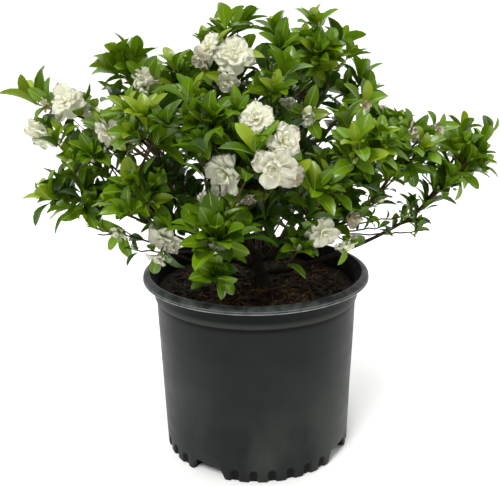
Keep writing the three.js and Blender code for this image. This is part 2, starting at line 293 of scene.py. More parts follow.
def polypropylene(can):
    """Charcoal polypropylene, injection moulded with a satin grain: a dull sheen, faint flow marks, dry dust.

    Its rolled lip is bleached, and scuffed pale along the edge, which also paints the edge's highlight. Dust
    clings to the lower wall. The wall is darkened higher up as painted shade, most of all just under the lip,
    with painted shade in the groove under the shoulder and a painted highlight on the bead over it. Damp soil
    darkens the flutes, and that darkening also paints the shade in their recesses.
    """
    material, tree, surface = new_material("moulded_polypropylene", IOR=1.49, Specular_IOR_Level=0.12)
    place = add(tree, SPLIT, add(tree, COORDINATES).outputs["Object"]).outputs
    level = add(tree, JOIN, place["X"], place["Y"])
    reach = add(tree, VECTOR, level, operation="LENGTH")
    marks = patches(tree, 0.045, 5, (1, 1, 2.2))
    base = add(tree, RAMP, marks, stops=[(0.3, can.colour), (0.7, can.pale_colour)])

    clouds = add(tree, RANGE, patches(tree, 0.07, 7, (1, 1, 0.5)), 0.42, 0.74, {4: 0.6})
    low = add(tree, RANGE, place["Z"], *DUST_HEIGHTS, 0.12, 1.0)
    dusty = add(tree, MATH, clouds, low, operation="MULTIPLY")
    skin = add(tree, MIX, dusty, {6: base, 7: can.dust_colour}, data_type="RGBA")
    # Painted shade: the wall is darkened higher up, and most of all on the shoulder under the lip, where the
    # lip's shadow falls.
    first, second, last = SHOULDER_HEIGHTS
    shares = [(0.1, (0.0,) * 3), (last, (0.8,) * 3), (first, (0.34,) * 3), (second, (0.34,) * 3)]
    shoulder = add(tree, RAMP, place["Z"], stops=shares)
    lip_shadow_colour = [c * 0.4 for c in can.colour]
    shaded_under_lip = add(tree, MIX, shoulder, {6: skin, 7: lip_shadow_colour}, data_type="RGBA")
    # Painted shade in the groove under the shoulder, in the soil colour, and a painted highlight on the bead
    # over it, in the dust colour.
    step = add(tree, RANGE, place["Z"], *STEP_HEIGHTS)
    none, some, most = (0.0,) * 3, (0.45,) * 3, (0.8,) * 3
    groove = add(tree, RAMP, step, stops=[(0.2, none), (0.6, none), (0.38, most), (0.5, most)])
    bead = add(tree, RAMP, step, stops=[(0.55, none), (1.0, none), (0.66, some), (0.8, some)])
    groove_shaded = add(tree, MIX, groove, {6: shaded_under_lip, 7: can.soil_and_shade_colour}, data_type="RGBA")
    bead_lit = add(tree, MIX, bead, {6: groove_shaded, 7: can.dust_colour}, data_type="RGBA")
    bleached = [c * 4.0 for c in can.lip_colour]
    lip = add(tree, RAMP, patches(tree, 0.013, 7), stops=[(0.4, can.lip_colour), (0.62, bleached)])
    on_lip = add(tree, RANGE, reach, *LIP_RADII)
    lipped = add(tree, MIX, on_lip, {6: bead_lit, 7: lip}, data_type="RGBA")
    # Pale scuffs along the lip's outer edge, which also paint the edge's highlight.
    rubbed_and_lit = add(tree, RANGE, patches(tree, 0.012, 5), 0.35, 0.65, 0.45, 1.0)
    at_edge = add(tree, RANGE, reach, *LIP_EDGE_RADII)
    scuffed = add(tree, MATH, rubbed_and_lit, at_edge, operation="MULTIPLY")
    worn = add(tree, MIX, scuffed, {6: lipped, 7: can.scuff_and_highlight_colour}, data_type="RGBA")
    # Painted shade in the flutes' recesses: the deeper a flute is pressed, the nearer it comes to the soil
    # colour, which also stands for damp soil there.
    flutes = add(tree, ATTRIBUTE, attribute_name="flute").outputs["Fac"]
    damp = add(tree, MATH, flutes, 0.9, operation="MULTIPLY")
    stained = add(tree, MIX, damp, {6: worn, 7: can.soil_and_shade_colour}, data_type="RGBA")

    satin = add(tree, RANGE, marks, 0.3, 0.7, 0.38, 0.5)
    # The mould's spark-eroded grain is about 0.3 mm; it is drawn at 0.8 mm so that it still shows.
    grain, ripple = patches(tree, 0.0008, 2), patches(tree, 0.03, 2, (1, 1, 0.35))
    uneven = add(tree, MATH, ripple, 7.0, grain, operation="MULTIPLY_ADD")
    bump = add(tree, BUMP, {"Height": uneven, "Distance": 0.00007, "Strength": 0.8})
    wire(tree, surface, {"Base Color": stained, "Roughness": satin, "Normal": bump})
    return material


def soiled_and_shaded_polypropylene(can):
    """The same plastic where the wet mix has stained it, inside and underneath: dull and nearly black, which
    also paints the shade inside the can and in its drain pockets.
    """
    dull = {"Roughness": 0.92, "Specular_IOR_Level": 0.1}
    material, tree, surface = new_material("soil_stained_polypropylene", **dull)
    crumbs = patches(tree, 0.008, 6)
    dried = [mixed(soil, dust, 0.25) for soil, dust in zip(can.soil_and_shade_colour, can.dust_colour)]
    base = add(tree, RAMP, crumbs, stops=[(0.5, can.soil_and_shade_colour), (0.82, dried)])
    bump = add(tree, BUMP, {"Height": crumbs, "Distance": 0.0006})
    wire(tree, surface, {"Base Color": base, "Normal": bump})
    return material


def shredded_bark(name, dark, light):
    """Composted pine bark: dull, fibrous and damp, so it is nearly black with a weak wet gloss."""
    material, tree, surface = new_material(name, Roughness=0.75, IOR=1.4, Specular_IOR_Level=0.25)
    fibre = patches(tree, 0.0022, 6)
    base = add(tree, RAMP, fibre, stops=[(0.32, dark), (0.72, light)])
    bump = add(tree, BUMP, {"Height": fibre, "Distance": 0.0012})
    wire(tree, surface, {"Base Color": base, "Normal": bump})
    return material


def splashed_and_shaded(tree, colour, stain):
    """A colour stained towards the foot of the shrub, where watering splashes the wood with wet mix, and
    darkened there as painted shade, since the crown's shade is deepest low down.
    """
    height = add(tree, SPLIT, add(tree, COORDINATES).outputs["Object"]).outputs["Z"]
    # Painted shade and splashes: the wood darkens from 0.33 m down to 0.25 m.
    low = add(tree, RANGE, height, 0.33, 0.25, {4: 0.9})
    return add(tree, MIX, low, {6: colour, 7: stain}, data_type="RGBA")


def azalea_bark(wood):
    """Grey-brown azalea bark: thin, dry, finely furrowed along the limb and flaking in pale scales."""
    material, tree, surface = new_material("azalea_bark", Roughness=0.8, Specular_IOR_Level=0.25)
    furrow = patches(tree, 0.2, 5, (1.0, 30.0, 1), source="UV")
    greys = [(0.34, wood.dark_colour), (0.8, wood.pale_colour), (0.6, wood.colour)]
    base = add(tree, RAMP, furrow, stops=greys)
    flake = add(tree, RANGE, patches(tree, 0.011, 3), 0.52, 0.7, {4: 0.55})
    skin = add(tree, MIX, flake, {6: base, 7: wood.pale_colour}, data_type="RGBA")
    bump = add(tree, BUMP, {"Height": furrow, "Distance": 0.0006})
    wire(tree, surface, {"Base Color": splashed_and_shaded(tree, skin, wood.dark_colour), "Normal": bump})
    return material


def twig_skin(wood):
    """The thin brown skin of year-old azalea twigs: smooth, slightly hairy, greener towards new shoots."""
    material, tree, surface = new_material("twig_skin", Roughness=0.62, Specular_IOR_Level=0.25)
    browns = [(0.3, wood.twig_dark_colour), (0.75, wood.shoot_colour), (0.55, wood.twig_colour)]
    base = add(tree, RAMP, patches(tree, 0.03, 2), stops=browns)
    bump = add(tree, BUMP, {"Height": patches(tree, 0.0016, 3), "Distance": 0.0003})
    wire(tree, surface, {"Base Color": splashed_and_shaded(tree, base, wood.dark_colour), "Normal": bump})
    return material


def leaf_blade(name, colour, gloss):
    """An azalea leaf: a leathery blade whose waxy cuticle glints, with a little light passing through."""
    material, tree, surface = new_material(name, Roughness=gloss, IOR=1.46)
    tint = add(tree, ATTRIBUTE, attribute_name="tint").outputs["Fac"]
    # A leaf takes one tint from its spray, from a little darker to a little lighter than its own green.
    dark = [c * share for c, share in zip(colour, (0.55, 0.64, 0.6))]
    light = [min(1, c * share) for c, share in zip(colour, (1.44, 1.38, 1.2))]
    spray = add(tree, RAMP, tint, stops=[(0.0, dark), (1.0, light), (0.5, colour)])
    # Side veins run every 2 to 3 mm; on so small a blade they only soften the gloss.
    veins = add(tree, BUMP, {"Height": patches(tree, 0.0025, 2), "Distance": 0.00025, "Strength": 0.5})
    wire(tree, surface, {"Base Color": spray, "Normal": veins})
    lit_through(tree, surface, spray, 0.22)
    return material


def leaf_midrib(name, colour):
    """The raised midrib, paler than the blade and slightly dull."""
    material, tree, surface = new_material(name, Roughness=0.5, IOR=1.45)
    pale = [min(1, c * 1.25) for c in colour]
    base = add(tree, RAMP, patches(tree, 0.02, 2), stops=[(0.35, colour), (0.7, pale)])
    wire(tree, surface, {"Base Color": base})
    return material


def petal_sheet(name, colour, throat, margin):
    """An azalea petal: a thin crinkled sheet that scatters light, cream towards its throat."""
    material, tree, surface = new_material(name, Roughness=0.55, IOR=1.38)
    along = add(tree, ATTRIBUTE, attribute_name="along").outputs["Fac"]
    tint = add(tree, ATTRIBUTE, attribute_name="tint").outputs["Fac"]
    blush = add(tree, RAMP, along, stops=[(0.05, throat), (1.0, margin), (0.4, colour), (0.93, colour)])
    # A low tint greys the petal towards its margin colour: at random for most blooms, and as painted shade
    # for the greyed ones.
    worn = add(tree, RANGE, tint, 0.5, {3: 0.7, 4: 0.0})
    skin = add(tree, MIX, worn, {6: blush, 7: margin}, data_type="RGBA")
    # Fine veins fan along the petal about 1.5 mm apart.
    veins = add(tree, BUMP, {"Height": patches(tree, 0.0016, 3), "Distance": 0.0004, "Strength": 0.6})
    wire(tree, surface, {"Base Color": skin, "Normal": veins})
    lit_through(tree, surface, skin, 0.26)
    return material


def bud_scale(name, foot, tip):
    """A swelling bud: overlapping silky scales, green at the foot and cream where the petals push out."""
    material, tree, surface = new_material(name, Roughness=0.45, IOR=1.42)
    along = add(tree, ATTRIBUTE, attribute_name="along").outputs["Fac"]
    blush = add(tree, RAMP, along, stops=[(0.1, foot), (0.55, tip)])
    bump = add(tree, BUMP, {"Height": patches(tree, 0.0014, 2), "Distance": 0.0003})
    wire(tree, surface, {"Base Color": blush, "Normal": bump})
    return material


# ---------------------------------------------------------------- settings


def paint(name, description, value):
    """A colour setting whose default is given as an sRGB hex value."""
    return FloatVectorProperty(
        name=name, description=description, subtype="COLOR", size=3, min=0, max=1, default=linear(value)
    )


def amount(name, description, value, **more):
    """A setting that counts, where its default is a whole number, or measures."""
    kind = IntProperty if isinstance(value, int) else FloatProperty
    return kind(name=name, description=description, default=value, **more)


def length(name, description, value):
    """A length setting in metres."""
    return amount(name, description, value, min=0, unit="LENGTH", subtype="DISTANCE")


def angle(name, description, degrees):
    """An angle setting, whose default is given in degrees."""
    return amount(name, description, math.radians(degrees), subtype="ANGLE")


class AzaleaCan(PropertyGroup):
    """The moulded can."""

    colour: paint("Colour", "Colour of the bare plastic", "#191d1c")
    pale_colour: paint("Flow marks", "Colour of the paler flow marks", "#202422")
    dust_colour: paint("Dust", "Colour of the dry dust on the wall", "#474c46")
    lip_colour: paint("Lip", "Colour of the lip where it isn't bleached", "#1d201f")
    # The scuffs also paint the highlight along the lip's edge.
    scuff_and_highlight_colour: paint("Scuffs", "Colour of the scuffed edge of the lip", "#8f938d")
    # The soil colour also paints shade: inside the can, under it, in the groove under the shoulder and in the
    # flutes.
    soil_and_shade_colour: paint("Soil", "Colour of the soil stain inside", "#0c0a07")
    columns: amount("Columns", "Points round the can", 560, min=48)
    flutes: amount("Flutes", "Flutes in each quarter of the foot", 6, min=1)
    flute_pitch: angle("Flute pitch", "Angle from flute to flute", 11)
    flute_width: length("Flute width", "Width of one flute at the foot", 0.0108)
    flute_height: length("Flute height", "Height of the arched top of a flute", 0.0165)
    flute_depth: length("Flute depth", "How far a flute is pressed in", 0.0036)
    notch_heading: angle("Notch heading", "Heading of the first drain notch", -31.5)
    notch_width: length("Notch width", "Width of a drain notch at its top", 0.033)
    notch_flare: length("Notch flare", "How much each side of a notch opens towards the foot", 0.008)
    notch_height: length("Notch height", "Height of a drain notch", 0.016)
    dent: length("Dents", "Depth of the soft dents in the wall", 0.0009)


class AzaleaMix(PropertyGroup):
    """The bark mix."""

    dark_colour: paint("Dark", "Damp bark in shadow", "#0f0a06")
    colour: paint("Bark", "Composted bark", "#31200d")
    light_colour: paint("Chips", "Fresher chips and fibres", "#8d683c")
    seed: amount("Seed", "Seed of the scattered chips", 11)
    chips: amount("Chips", "Chips to a square metre of surface", 52000.0, min=0)


class AzaleaWood(PropertyGroup):
    """The stem, the boughs and the twigs."""

    colour: paint("Bark", "Bark of the boughs", "#4b3921")
    dark_colour: paint("Furrows", "Furrows of the bark", "#1c140a")
    pale_colour: paint("Flakes", "Dry flakes of the bark", "#75603f")
    twig_colour: paint("Twigs", "Skin of the twigs", "#4b3317")
    twig_dark_colour: paint("Old twigs", "Skin of the older twigs", "#27190b")
    shoot_colour: paint("Shoots", "Skin of the green shoots", "#59602a")
    seed: amount("Seed", "Seed of the branching rule", 27)
    spacing: length("Shoot spacing", "Least distance between two shoots' tips", 0.0187)
    twig_radius: length("Twig radius", "Radius of a twig that carries one shoot", 0.00095)
    bough_share: amount("Bough girth", "Girth of a bough as a share of its CAD limb", 0.74)
    inner_tries: amount("Inner shoots", "How often an inner shoot is tried", 400, min=0)
    whips: amount("Whips", "Thin stems from the fork into each mass", 2, min=0)
    relief: length("Relief", "Height of the bark's ridges", 0.0007)


class AzaleaLeaves(PropertyGroup):
    """The leaves."""

    # The three greens also paint light and shade: lit leaves high on open shoots take the lighter ones,
    # shaded leaves inside the crown the darker.
    young_lit_colour: paint("Young", "Leaves of the open shoots", "#83991c")
    mature_colour: paint("Mature", "Full-grown leaves in the light", "#5e7f0c")
    deep_shaded_colour: paint("Deep", "Old leaves inside the crown", "#37540c")
    rib_colour: paint("Midrib", "Midribs of the leaves", "#86a33c")
    deep_shaded_rib_colour: paint("Old midrib", "Midribs of the old leaves", "#4c6b22")
    length: length("Length", "Length of a full-grown leaf", 0.0365)
    width: amount("Width", "Width of a leaf as a share of its length", 0.41)
    per_shoot: amount("Leaves", "Most leaves in the whorl at a shoot's tip", 10)


class AzaleaBlossom(PropertyGroup):
    """The blossom."""

    colour: paint("Petals", "Fresh petals", "#f7f7e4")
    throat_colour: paint("Throat", "Throat of a bloom", "#eceabb")
    shade_colour: paint("Margin", "Thin margin of a petal", "#cfcdb8")
    faded_colour: paint("Faded", "Petals past their best", "#dcd7c2")
    brown_colour: paint("Wilted", "Wilted petals", "#c9ae84")
    bud_colour: paint("Buds", "Petals pushing out of a bud", "#e9e6bd")
    scale_colour: paint("Bud scales", "Scales at the foot of a bud", "#8ba548")
    hidden_blooms: amount("Back blooms", "Blooms on the sides and back", 18)


class AzaleaStudio(PropertyGroup):
    """The floor, the light and the camera."""

    floor_colour: paint("Floor", "Colour of the floor", "#fbfbfa")
    key: amount("Key", "Watts to a square metre from the high key light", 2.4, min=0)
    key_angle: angle("Key softness", "Width of the key light in the sky", 22)
    fill_power: amount("Fill", "Power of the fill light", 2.0, unit="POWER")
    top_power: amount("Top", "Power of the light overhead", 10.0, unit="POWER")
    sky: amount("Sky", "Strength of the white surroundings behind and above", 1.3, min=0)
    dusk: amount("Dusk", "Strength of the surroundings on the camera's side", 0.36, min=0)
    distance: length("Distance", "Camera's distance in front of the can's axis", 0.873)
    height: length("Height", "Camera's height above the floor", 0.526)
    tilt: angle("Tilt", "How far the camera looks down", 16.8)
    lens: amount("Lens", "Focal length of the camera", 53.06, unit="CAMERA")


# ---------------------------------------------------------------- the can

FOOT_RING = 96  # radius of the ring that the can stands on
# The can's profile from the middle of its underside out, up the wall, over the rolled rim and down inside:
# the radius and height of each point in millimetres. A third number is the share of a drain notch's height
# that lifts the point.
UNDERSIDE = [(0, 2), (40, 2), (84, 2), (88, 0.2), (91, 0), (FOOT_RING, 0)]
POCKET_LIFTS = [0.14, 0.26, 0.34, 0.5, 0.66, 0.76, 1.0]
FOOT_CORNER = [
    (98, 0, 1), (104, 0, 1), (110, 0, 1), (114.2, 0, 1),
    (116.6, 0.2, 0.995), (117.7, 0.9, 0.97), (118.1, 2.2, 0.93),
]
OUTSIDE = [
    (118.15, 4), (118.2, 6), (118.3, 8), (118.35, 10), (118.4, 12), (118.5, 14), (118.55, 16), (118.6, 18),
    (118.7, 20), (118.8, 23), (118.9, 26), (119, 30), (119.3, 40), (119.7, 54), (120.2, 72), (120.9, 92),
    (121.5, 112), (122.2, 132), (122.8, 152), (123.4, 170), (123.8, 184), (124.1, 192), (124.0, 195.6),
    (123.4, 197.4), (123.4, 198.6), (125.5, 199.8), (126.5, 201.0), (126.7, 202.6), (126.4, 204.4),
    (125.9, 207), (125.8, 214), (125.7, 220), (126.0, 224.2), (127.2, 226.2), (129.5, 226.7), (133.4, 226.7),
    (136.6, 226.4), (137.3, 225.2), (137.4, 223.6), (138.2, 222.9), (139.3, 222.8), (139.95, 223.3),
    (140.0, 224.0), (139.5, 224.5), (139.3, 224.9), (139.6, 225.5), (139.75, 226.5), (139.4, 227.6),
    (138.4, 228.7), (136.8, 229.8), (135.0, 230.6), (133.2, 231.0),
]
INSIDE = [
    (131.4, 230.7), (130.0, 229.8), (128.9, 228.4), (127.2, 226.6), (125.4, 225.2), (124.2, 223.2),
    (123.7, 220), (123.5, 214), (123.2, 200), (121.6, 150), (119.5, 90), (117.4, 30), (115, 22), (108, 19.5),
    (50, 19), (0, 19),
]
NOTCH_REACH = 30  # a drain notch lifts the wall up to this height
CAN_PROFILE = (
    [(r, z, 0) for r, z in UNDERSIDE]
    + [(FOOT_RING, 0, lift) for lift in POCKET_LIFTS]
    + FOOT_CORNER
    + [(r, z, round(max(0, 1 - z / NOTCH_REACH), 3)) for r, z in OUTSIDE]
    + [(r, z, 0) for r, z in INSIDE]
)
PROFILE_RADIUS = max(r for r, _, _ in CAN_PROFILE)
PROFILE_TOP = max(z for _, z, _ in CAN_PROFILE)

SOFT = {"interpolation_type": "SMOOTHSTEP"}
# The rest of the can's sizes in metres.
FOOT_RADIUS = 0.118
SLOT_EDGE = (0.0095, 0.0075)  # how far a drain slot's soft side edge starts and ends from its middle
SLOT_DEPTH = 0.009
FLUTED_FROM = 0.115  # radius from which the wall is fluted
SOILED_AND_SHADED_TO = 0.1145  # radius to which the underside is soiled and painted dark as shade, drain pockets included
ARCH_EDGE = (1.12, 0.62)  # where a flute's soft edge starts and ends, in half widths
DENT_FOOT, DENT_TOP = (0.02, 0.09), (0.2, 0.15)  # the heights between which dents die away
WELD = 2e-6  # points nearer than this become one
SOILED_AND_SHADED_SHARE = 0.6  # a face takes the stained and shaded plastic from this share of its points


def can_tree(settings):
    """The rule of the can: its profile turned round the axis, with flutes, drain notches and soft dents."""
    tree, start, end = new_tree(
        "moulded can",
        Columns=settings.columns,
        Rows=len(CAN_PROFILE),
        Notch=settings.notch_heading,
        Opening=settings.notch_width,
        Flare=settings.notch_flare,
        Rise=settings.notch_height,
        Pitch=settings.flute_pitch,
        Width=settings.flute_width,
        Height=settings.flute_height,
        Depth=settings.flute_depth,
        Dent=settings.dent,
        Outside=[z for _, z, _ in CAN_PROFILE].index(PROFILE_TOP),
        Material=polypropylene(settings),
        Soiled=soiled_and_shaded_polypropylene(settings),
    )
    size = start.outputs

    # A grid has a column for each step round the axis and a row for each point of the profile.
    columns = add(tree, MATH, size["Columns"], 1.0, operation="ADD")
    grid = add(tree, "GeometryNodeMeshGrid", {"Vertices X": columns, "Vertices Y": size["Rows"]})
    index = add(tree, "GeometryNodeInputIndex")
    row = add(tree, MATH, index, size["Rows"], operation="MODULO")
    rounds = add(tree, MATH, index, size["Rows"], operation="DIVIDE")
    column = add(tree, MATH, rounds, operation="FLOOR")
    step = add(tree, MATH, math.tau, size["Columns"], operation="DIVIDE")
    turn = add(tree, MATH, column, step, operation="MULTIPLY")
    here = add(tree, "GeometryNodeInputPosition")
    spot = {0: size["Geometry"], "Value": here, "Index": row}
    where = add(tree, "GeometryNodeSampleIndex", spot, data_type="FLOAT_VECTOR")
    told = add(tree, TOLD, "lift")
    lift = add(tree, "GeometryNodeSampleIndex", {0: size["Geometry"], "Value": told, "Index": row})
    point = add(tree, SPLIT, where).outputs
    reach, height = point["X"], point["Z"]

    # Drain notches, one to a quarter: the foot rises over a trapezoid, and the pocket's wall has a slot.
    spin = add(tree, MATH, turn, size["Notch"], operation="SUBTRACT")
    onwards = add(tree, MATH, spin, math.tau, operation="ADD")
    off_notch = add(tree, MATH, onwards, math.pi / 4, operation="PINGPONG")
    along_foot = add(tree, MATH, off_notch, FOOT_RADIUS, operation="MULTIPLY")
    outer = add(tree, MATH, size["Opening"], 0.5, size["Flare"], operation="MULTIPLY_ADD")
    top = add(tree, MATH, size["Opening"], 0.5, operation="MULTIPLY")
    rise = add(tree, RANGE, along_foot, outer, top, {4: size["Rise"]}, **SOFT)
    new_height = add(tree, MATH, lift, rise, height, operation="MULTIPLY_ADD")
    span = add(tree, RANGE, along_foot, *SLOT_EDGE, **SOFT)
    foot_of_slot = add(tree, RANGE, lift, 0.2, 0.3, **SOFT)
    head_of_slot = add(tree, RANGE, lift, 0.8, 0.7, {4: SLOT_DEPTH}, **SOFT)
    in_pocket = add(tree, MATH, reach, FOOT_RING * MM, MM, operation="COMPARE")
    in_height = add(tree, MATH, foot_of_slot, head_of_slot, operation="MULTIPLY")
    in_wall = add(tree, MATH, span, in_pocket, operation="MULTIPLY")
    slot = add(tree, MATH, in_height, in_wall, operation="MULTIPLY")

    # Flutes: arches pressed into the foot between the notches, the last pair half a pitch off the middle.
    half_pitch = add(tree, MATH, size["Pitch"], 0.5, operation="MULTIPLY")
    to_middle = add(tree, MATH, math.pi / 4, off_notch, operation="SUBTRACT")
    to_flute = add(tree, MATH, to_middle, half_pitch, operation="ADD")
    off_flute = add(tree, MATH, to_flute, half_pitch, operation="PINGPONG")
    sideways = add(tree, MATH, off_flute, reach, operation="MULTIPLY")
    half_width = add(tree, MATH, size["Width"], 0.5, operation="MULTIPLY")
    arch_foot = add(tree, MATH, size["Height"], half_width, operation="SUBTRACT")
    above = add(tree, MATH, height, arch_foot, operation="SUBTRACT")
    upwards = add(tree, MATH, above, 0.0, operation="MAXIMUM")
    from_arch = add(tree, VECTOR, add(tree, JOIN, sideways, upwards), operation="LENGTH")
    widths = add(tree, MATH, from_arch, half_width, operation="DIVIDE")
    arch = add(tree, RANGE, widths, *ARCH_EDGE, **SOFT)
    fluted = add(tree, MATH, size["Pitch"], settings.flutes / 2, operation="MULTIPLY")
    in_arc = add(tree, MATH, to_middle, fluted, operation="LESS_THAN")
    on_wall = add(tree, MATH, reach, FLUTED_FROM, operation="GREATER_THAN")
    in_flutes = add(tree, MATH, in_arc, on_wall, operation="MULTIPLY")
    pressed = add(tree, MATH, arch, in_flutes, operation="MULTIPLY")
    inward = add(tree, MATH, pressed, size["Depth"], slot, operation="MULTIPLY_ADD")

    # Dents: a thin wall never stays quite round. They die away towards the stiff rim and foot.
    cosine, sine = (add(tree, MATH, turn, operation=name) for name in ("COSINE", "SINE"))
    tall = add(tree, MATH, height, 9.0, operation="MULTIPLY")
    around = add(tree, JOIN, cosine, sine, tall)
    wave = add(tree, NOISE, around, {"Scale": 1.7, "Detail": 1.0})
    centred = add(tree, MATH, wave, 0.5, operation="SUBTRACT")
    low = add(tree, RANGE, height, *DENT_FOOT, {4: 2.0}, **SOFT)
    high = add(tree, RANGE, height, *DENT_TOP, {4: size["Dent"]}, **SOFT)
    soft = add(tree, MATH, low, high, operation="MULTIPLY")
    dented = add(tree, MATH, centred, soft, reach, operation="MULTIPLY_ADD")

    new_reach = add(tree, MATH, dented, inward, operation="SUBTRACT")
    flat = add(tree, JOIN, cosine, sine)
    level = add(tree, VECTOR, flat, {"Scale": new_reach}, operation="SCALE")
    upright = add(tree, JOIN, {2: new_height})
    place = add(tree, VECTOR, level, upright, operation="ADD")
    swept = add(tree, "GeometryNodeSetPosition", grid, {"Position": place})
    # The inside and the underside take the near-black plastic: a soil stain that is also painted shade.
    past_top = add(tree, MATH, row, size["Outside"], operation="GREATER_THAN")
    beneath = add(tree, MATH, reach, SOILED_AND_SHADED_TO, operation="LESS_THAN")
    soiled = add(tree, MATH, past_top, beneath, operation="MAXIMUM")
    told = swept
    for label, value in (("soiled", soiled), ("flute", pressed)):
        told = add(tree, TELL, told, {"Name": label, "Value": value}, domain="POINT")
    closed = add(tree, "GeometryNodeMergeByDistance", told, {"Distance": WELD})
    shaded = add(tree, "GeometryNodeSetShadeSmooth", closed)
    real = add(tree, "GeometryNodeRealizeInstances", shaded)
    dry = add(tree, "GeometryNodeSetMaterial", real, {"Material": size["Material"]})
    share = add(tree, TOLD, "soiled")
    mostly = add(tree, MATH, share, SOILED_AND_SHADED_SHARE, operation="GREATER_THAN")
    stain = {0: dry, "Selection": mostly, "Material": size["Soiled"]}
    wire(tree, end, {0: add(tree, "GeometryNodeSetMaterial", stain)})
    return tree


class AZALEA_OT_can(Operator):
    """Mould the can by its rule: one profile turned round the axis"""

    bl_idname = "azalea.can"
    bl_label = "Mould the Can"

    def execute(self, context):
        settings = context.scene.azalea_can
        wide, tall = RIM_RADIUS / PROFILE_RADIUS, CAN_TOP / PROFILE_TOP
        profile = [(r * wide, 0, z * tall) for r, z, _ in CAN_PROFILE]
        links = [(i, i + 1) for i in range(len(profile) - 1)]
        can = mesh_object("nursery_can", profile, edges=links, lift=[float(lift) for *_, lift in CAN_PROFILE])
        run_tree(can, can_tree(settings))
        placed(can, "pot", "nursery_pot")
        return {"FINISHED"}


# ---------------------------------------------------------------- the potting mix

# How much a chip's length, width and thickness spread, as the least and most share of its sort's.
CHIP_SPREADS = ((0.6, 1.2), (0.6, 1.2), (0.7, 1.3))
BED_SHARE = 0.879  # the bed's radius as a share of the rim's
BED_MIDDLE, BED_EDGE, BED_FLOOR = 2.0, 6.5, 40  # how far they lie under the top of the CAD's mix


def chip(chance, size):
    """A splinter of bark of about this size: four uneven rings along its length, closed at both ends."""
    length, width, thickness = (wide * chance.uniform(*spread) for wide, spread in zip(size, CHIP_SPREADS))
    rings, corners = 4, 5
    points = []
    for r in range(rings):
        along = r / (rings - 1)
        girth = math.sin(math.pi * mixed(0.12, 0.9, along)) * chance.uniform(0.75, 1.1)
        for c in range(corners):
            turn = math.tau * c / corners + chance.uniform(-0.3, 0.3)
            points.append(
                (
                    (along - 0.5) * length,
                    math.cos(turn) * girth * width / 2 + chance.uniform(-0.1, 0.1) * width,
                    math.sin(turn) * girth * thickness / 2 + math.sin(along * 5) * thickness * 0.4,
                )
            )
    caps = [tuple(reversed(range(corners))), tuple(range((rings - 1) * corners, rings * corners))]
    return points, grid_faces(rings, corners, closed=True) + caps, {}


def kit(name, shapes, scale=1):
    """A collection of small shapes for a tree to deal out, in the order of their names."""
    collection = bpy.data.collections.new(name)
    for number, (points, faces, attributes) in enumerate(shapes):
        piece = mesh_object(f"{name}_{number:02d}", np.array(points, float) * scale, faces, **attributes)
        bpy.context.scene.collection.objects.unlink(piece)
        collection.objects.link(piece)
    return collection


def clear_kit(collection):
    """Removes a collection and its shapes once they have been dealt out."""
    for piece in list(collection.objects):
        bpy.data.meshes.remove(piece.data)
    bpy.data.collections.remove(collection)


def strewn_tree(name, shapes, material):
    """Strews shapes over a surface at random, turned every way, and makes them real."""
    tree, start, end = new_tree(name, Shapes=shapes, Density=1000.0, Seed=0, Tilt=0.5, Material=material)
    size = start.outputs
    sown = {"Density": size["Density"], "Seed": size["Seed"]}
    spots = add(tree, "GeometryNodeDistributePointsOnFaces", size["Geometry"], sown)
    lean = add(tree, MATH, size["Tilt"], -1.0, operation="MULTIPLY")
    low = add(tree, JOIN, lean, lean, -math.pi)
    high = add(tree, JOIN, size["Tilt"], size["Tilt"], math.pi)
    turn = add(tree, "FunctionNodeRandomValue", low, high, {"Seed": size["Seed"]}, data_type="FLOAT_VECTOR")
    large = add(tree, "FunctionNodeRandomValue", {2: 0.45, 3: 1.25, "Seed": size["Seed"]}, data_type="FLOAT")
    some = add(
        tree,
        "GeometryNodeInstanceOnPoints",
        {
            "Points": spots,
            "Instance": add(tree, "GeometryNodeCollectionInfo", size["Shapes"], True, True),
            "Pick Instance": True,
            "Rotation": add(tree, "FunctionNodeEulerToRotation", turn),
            "Scale": large,
        },
    )
    real = add(tree, "GeometryNodeRealizeInstances", some)
    wire(tree, end, {0: add(tree, "GeometryNodeSetMaterial", real, {"Material": size["Material"]})})
    return tree


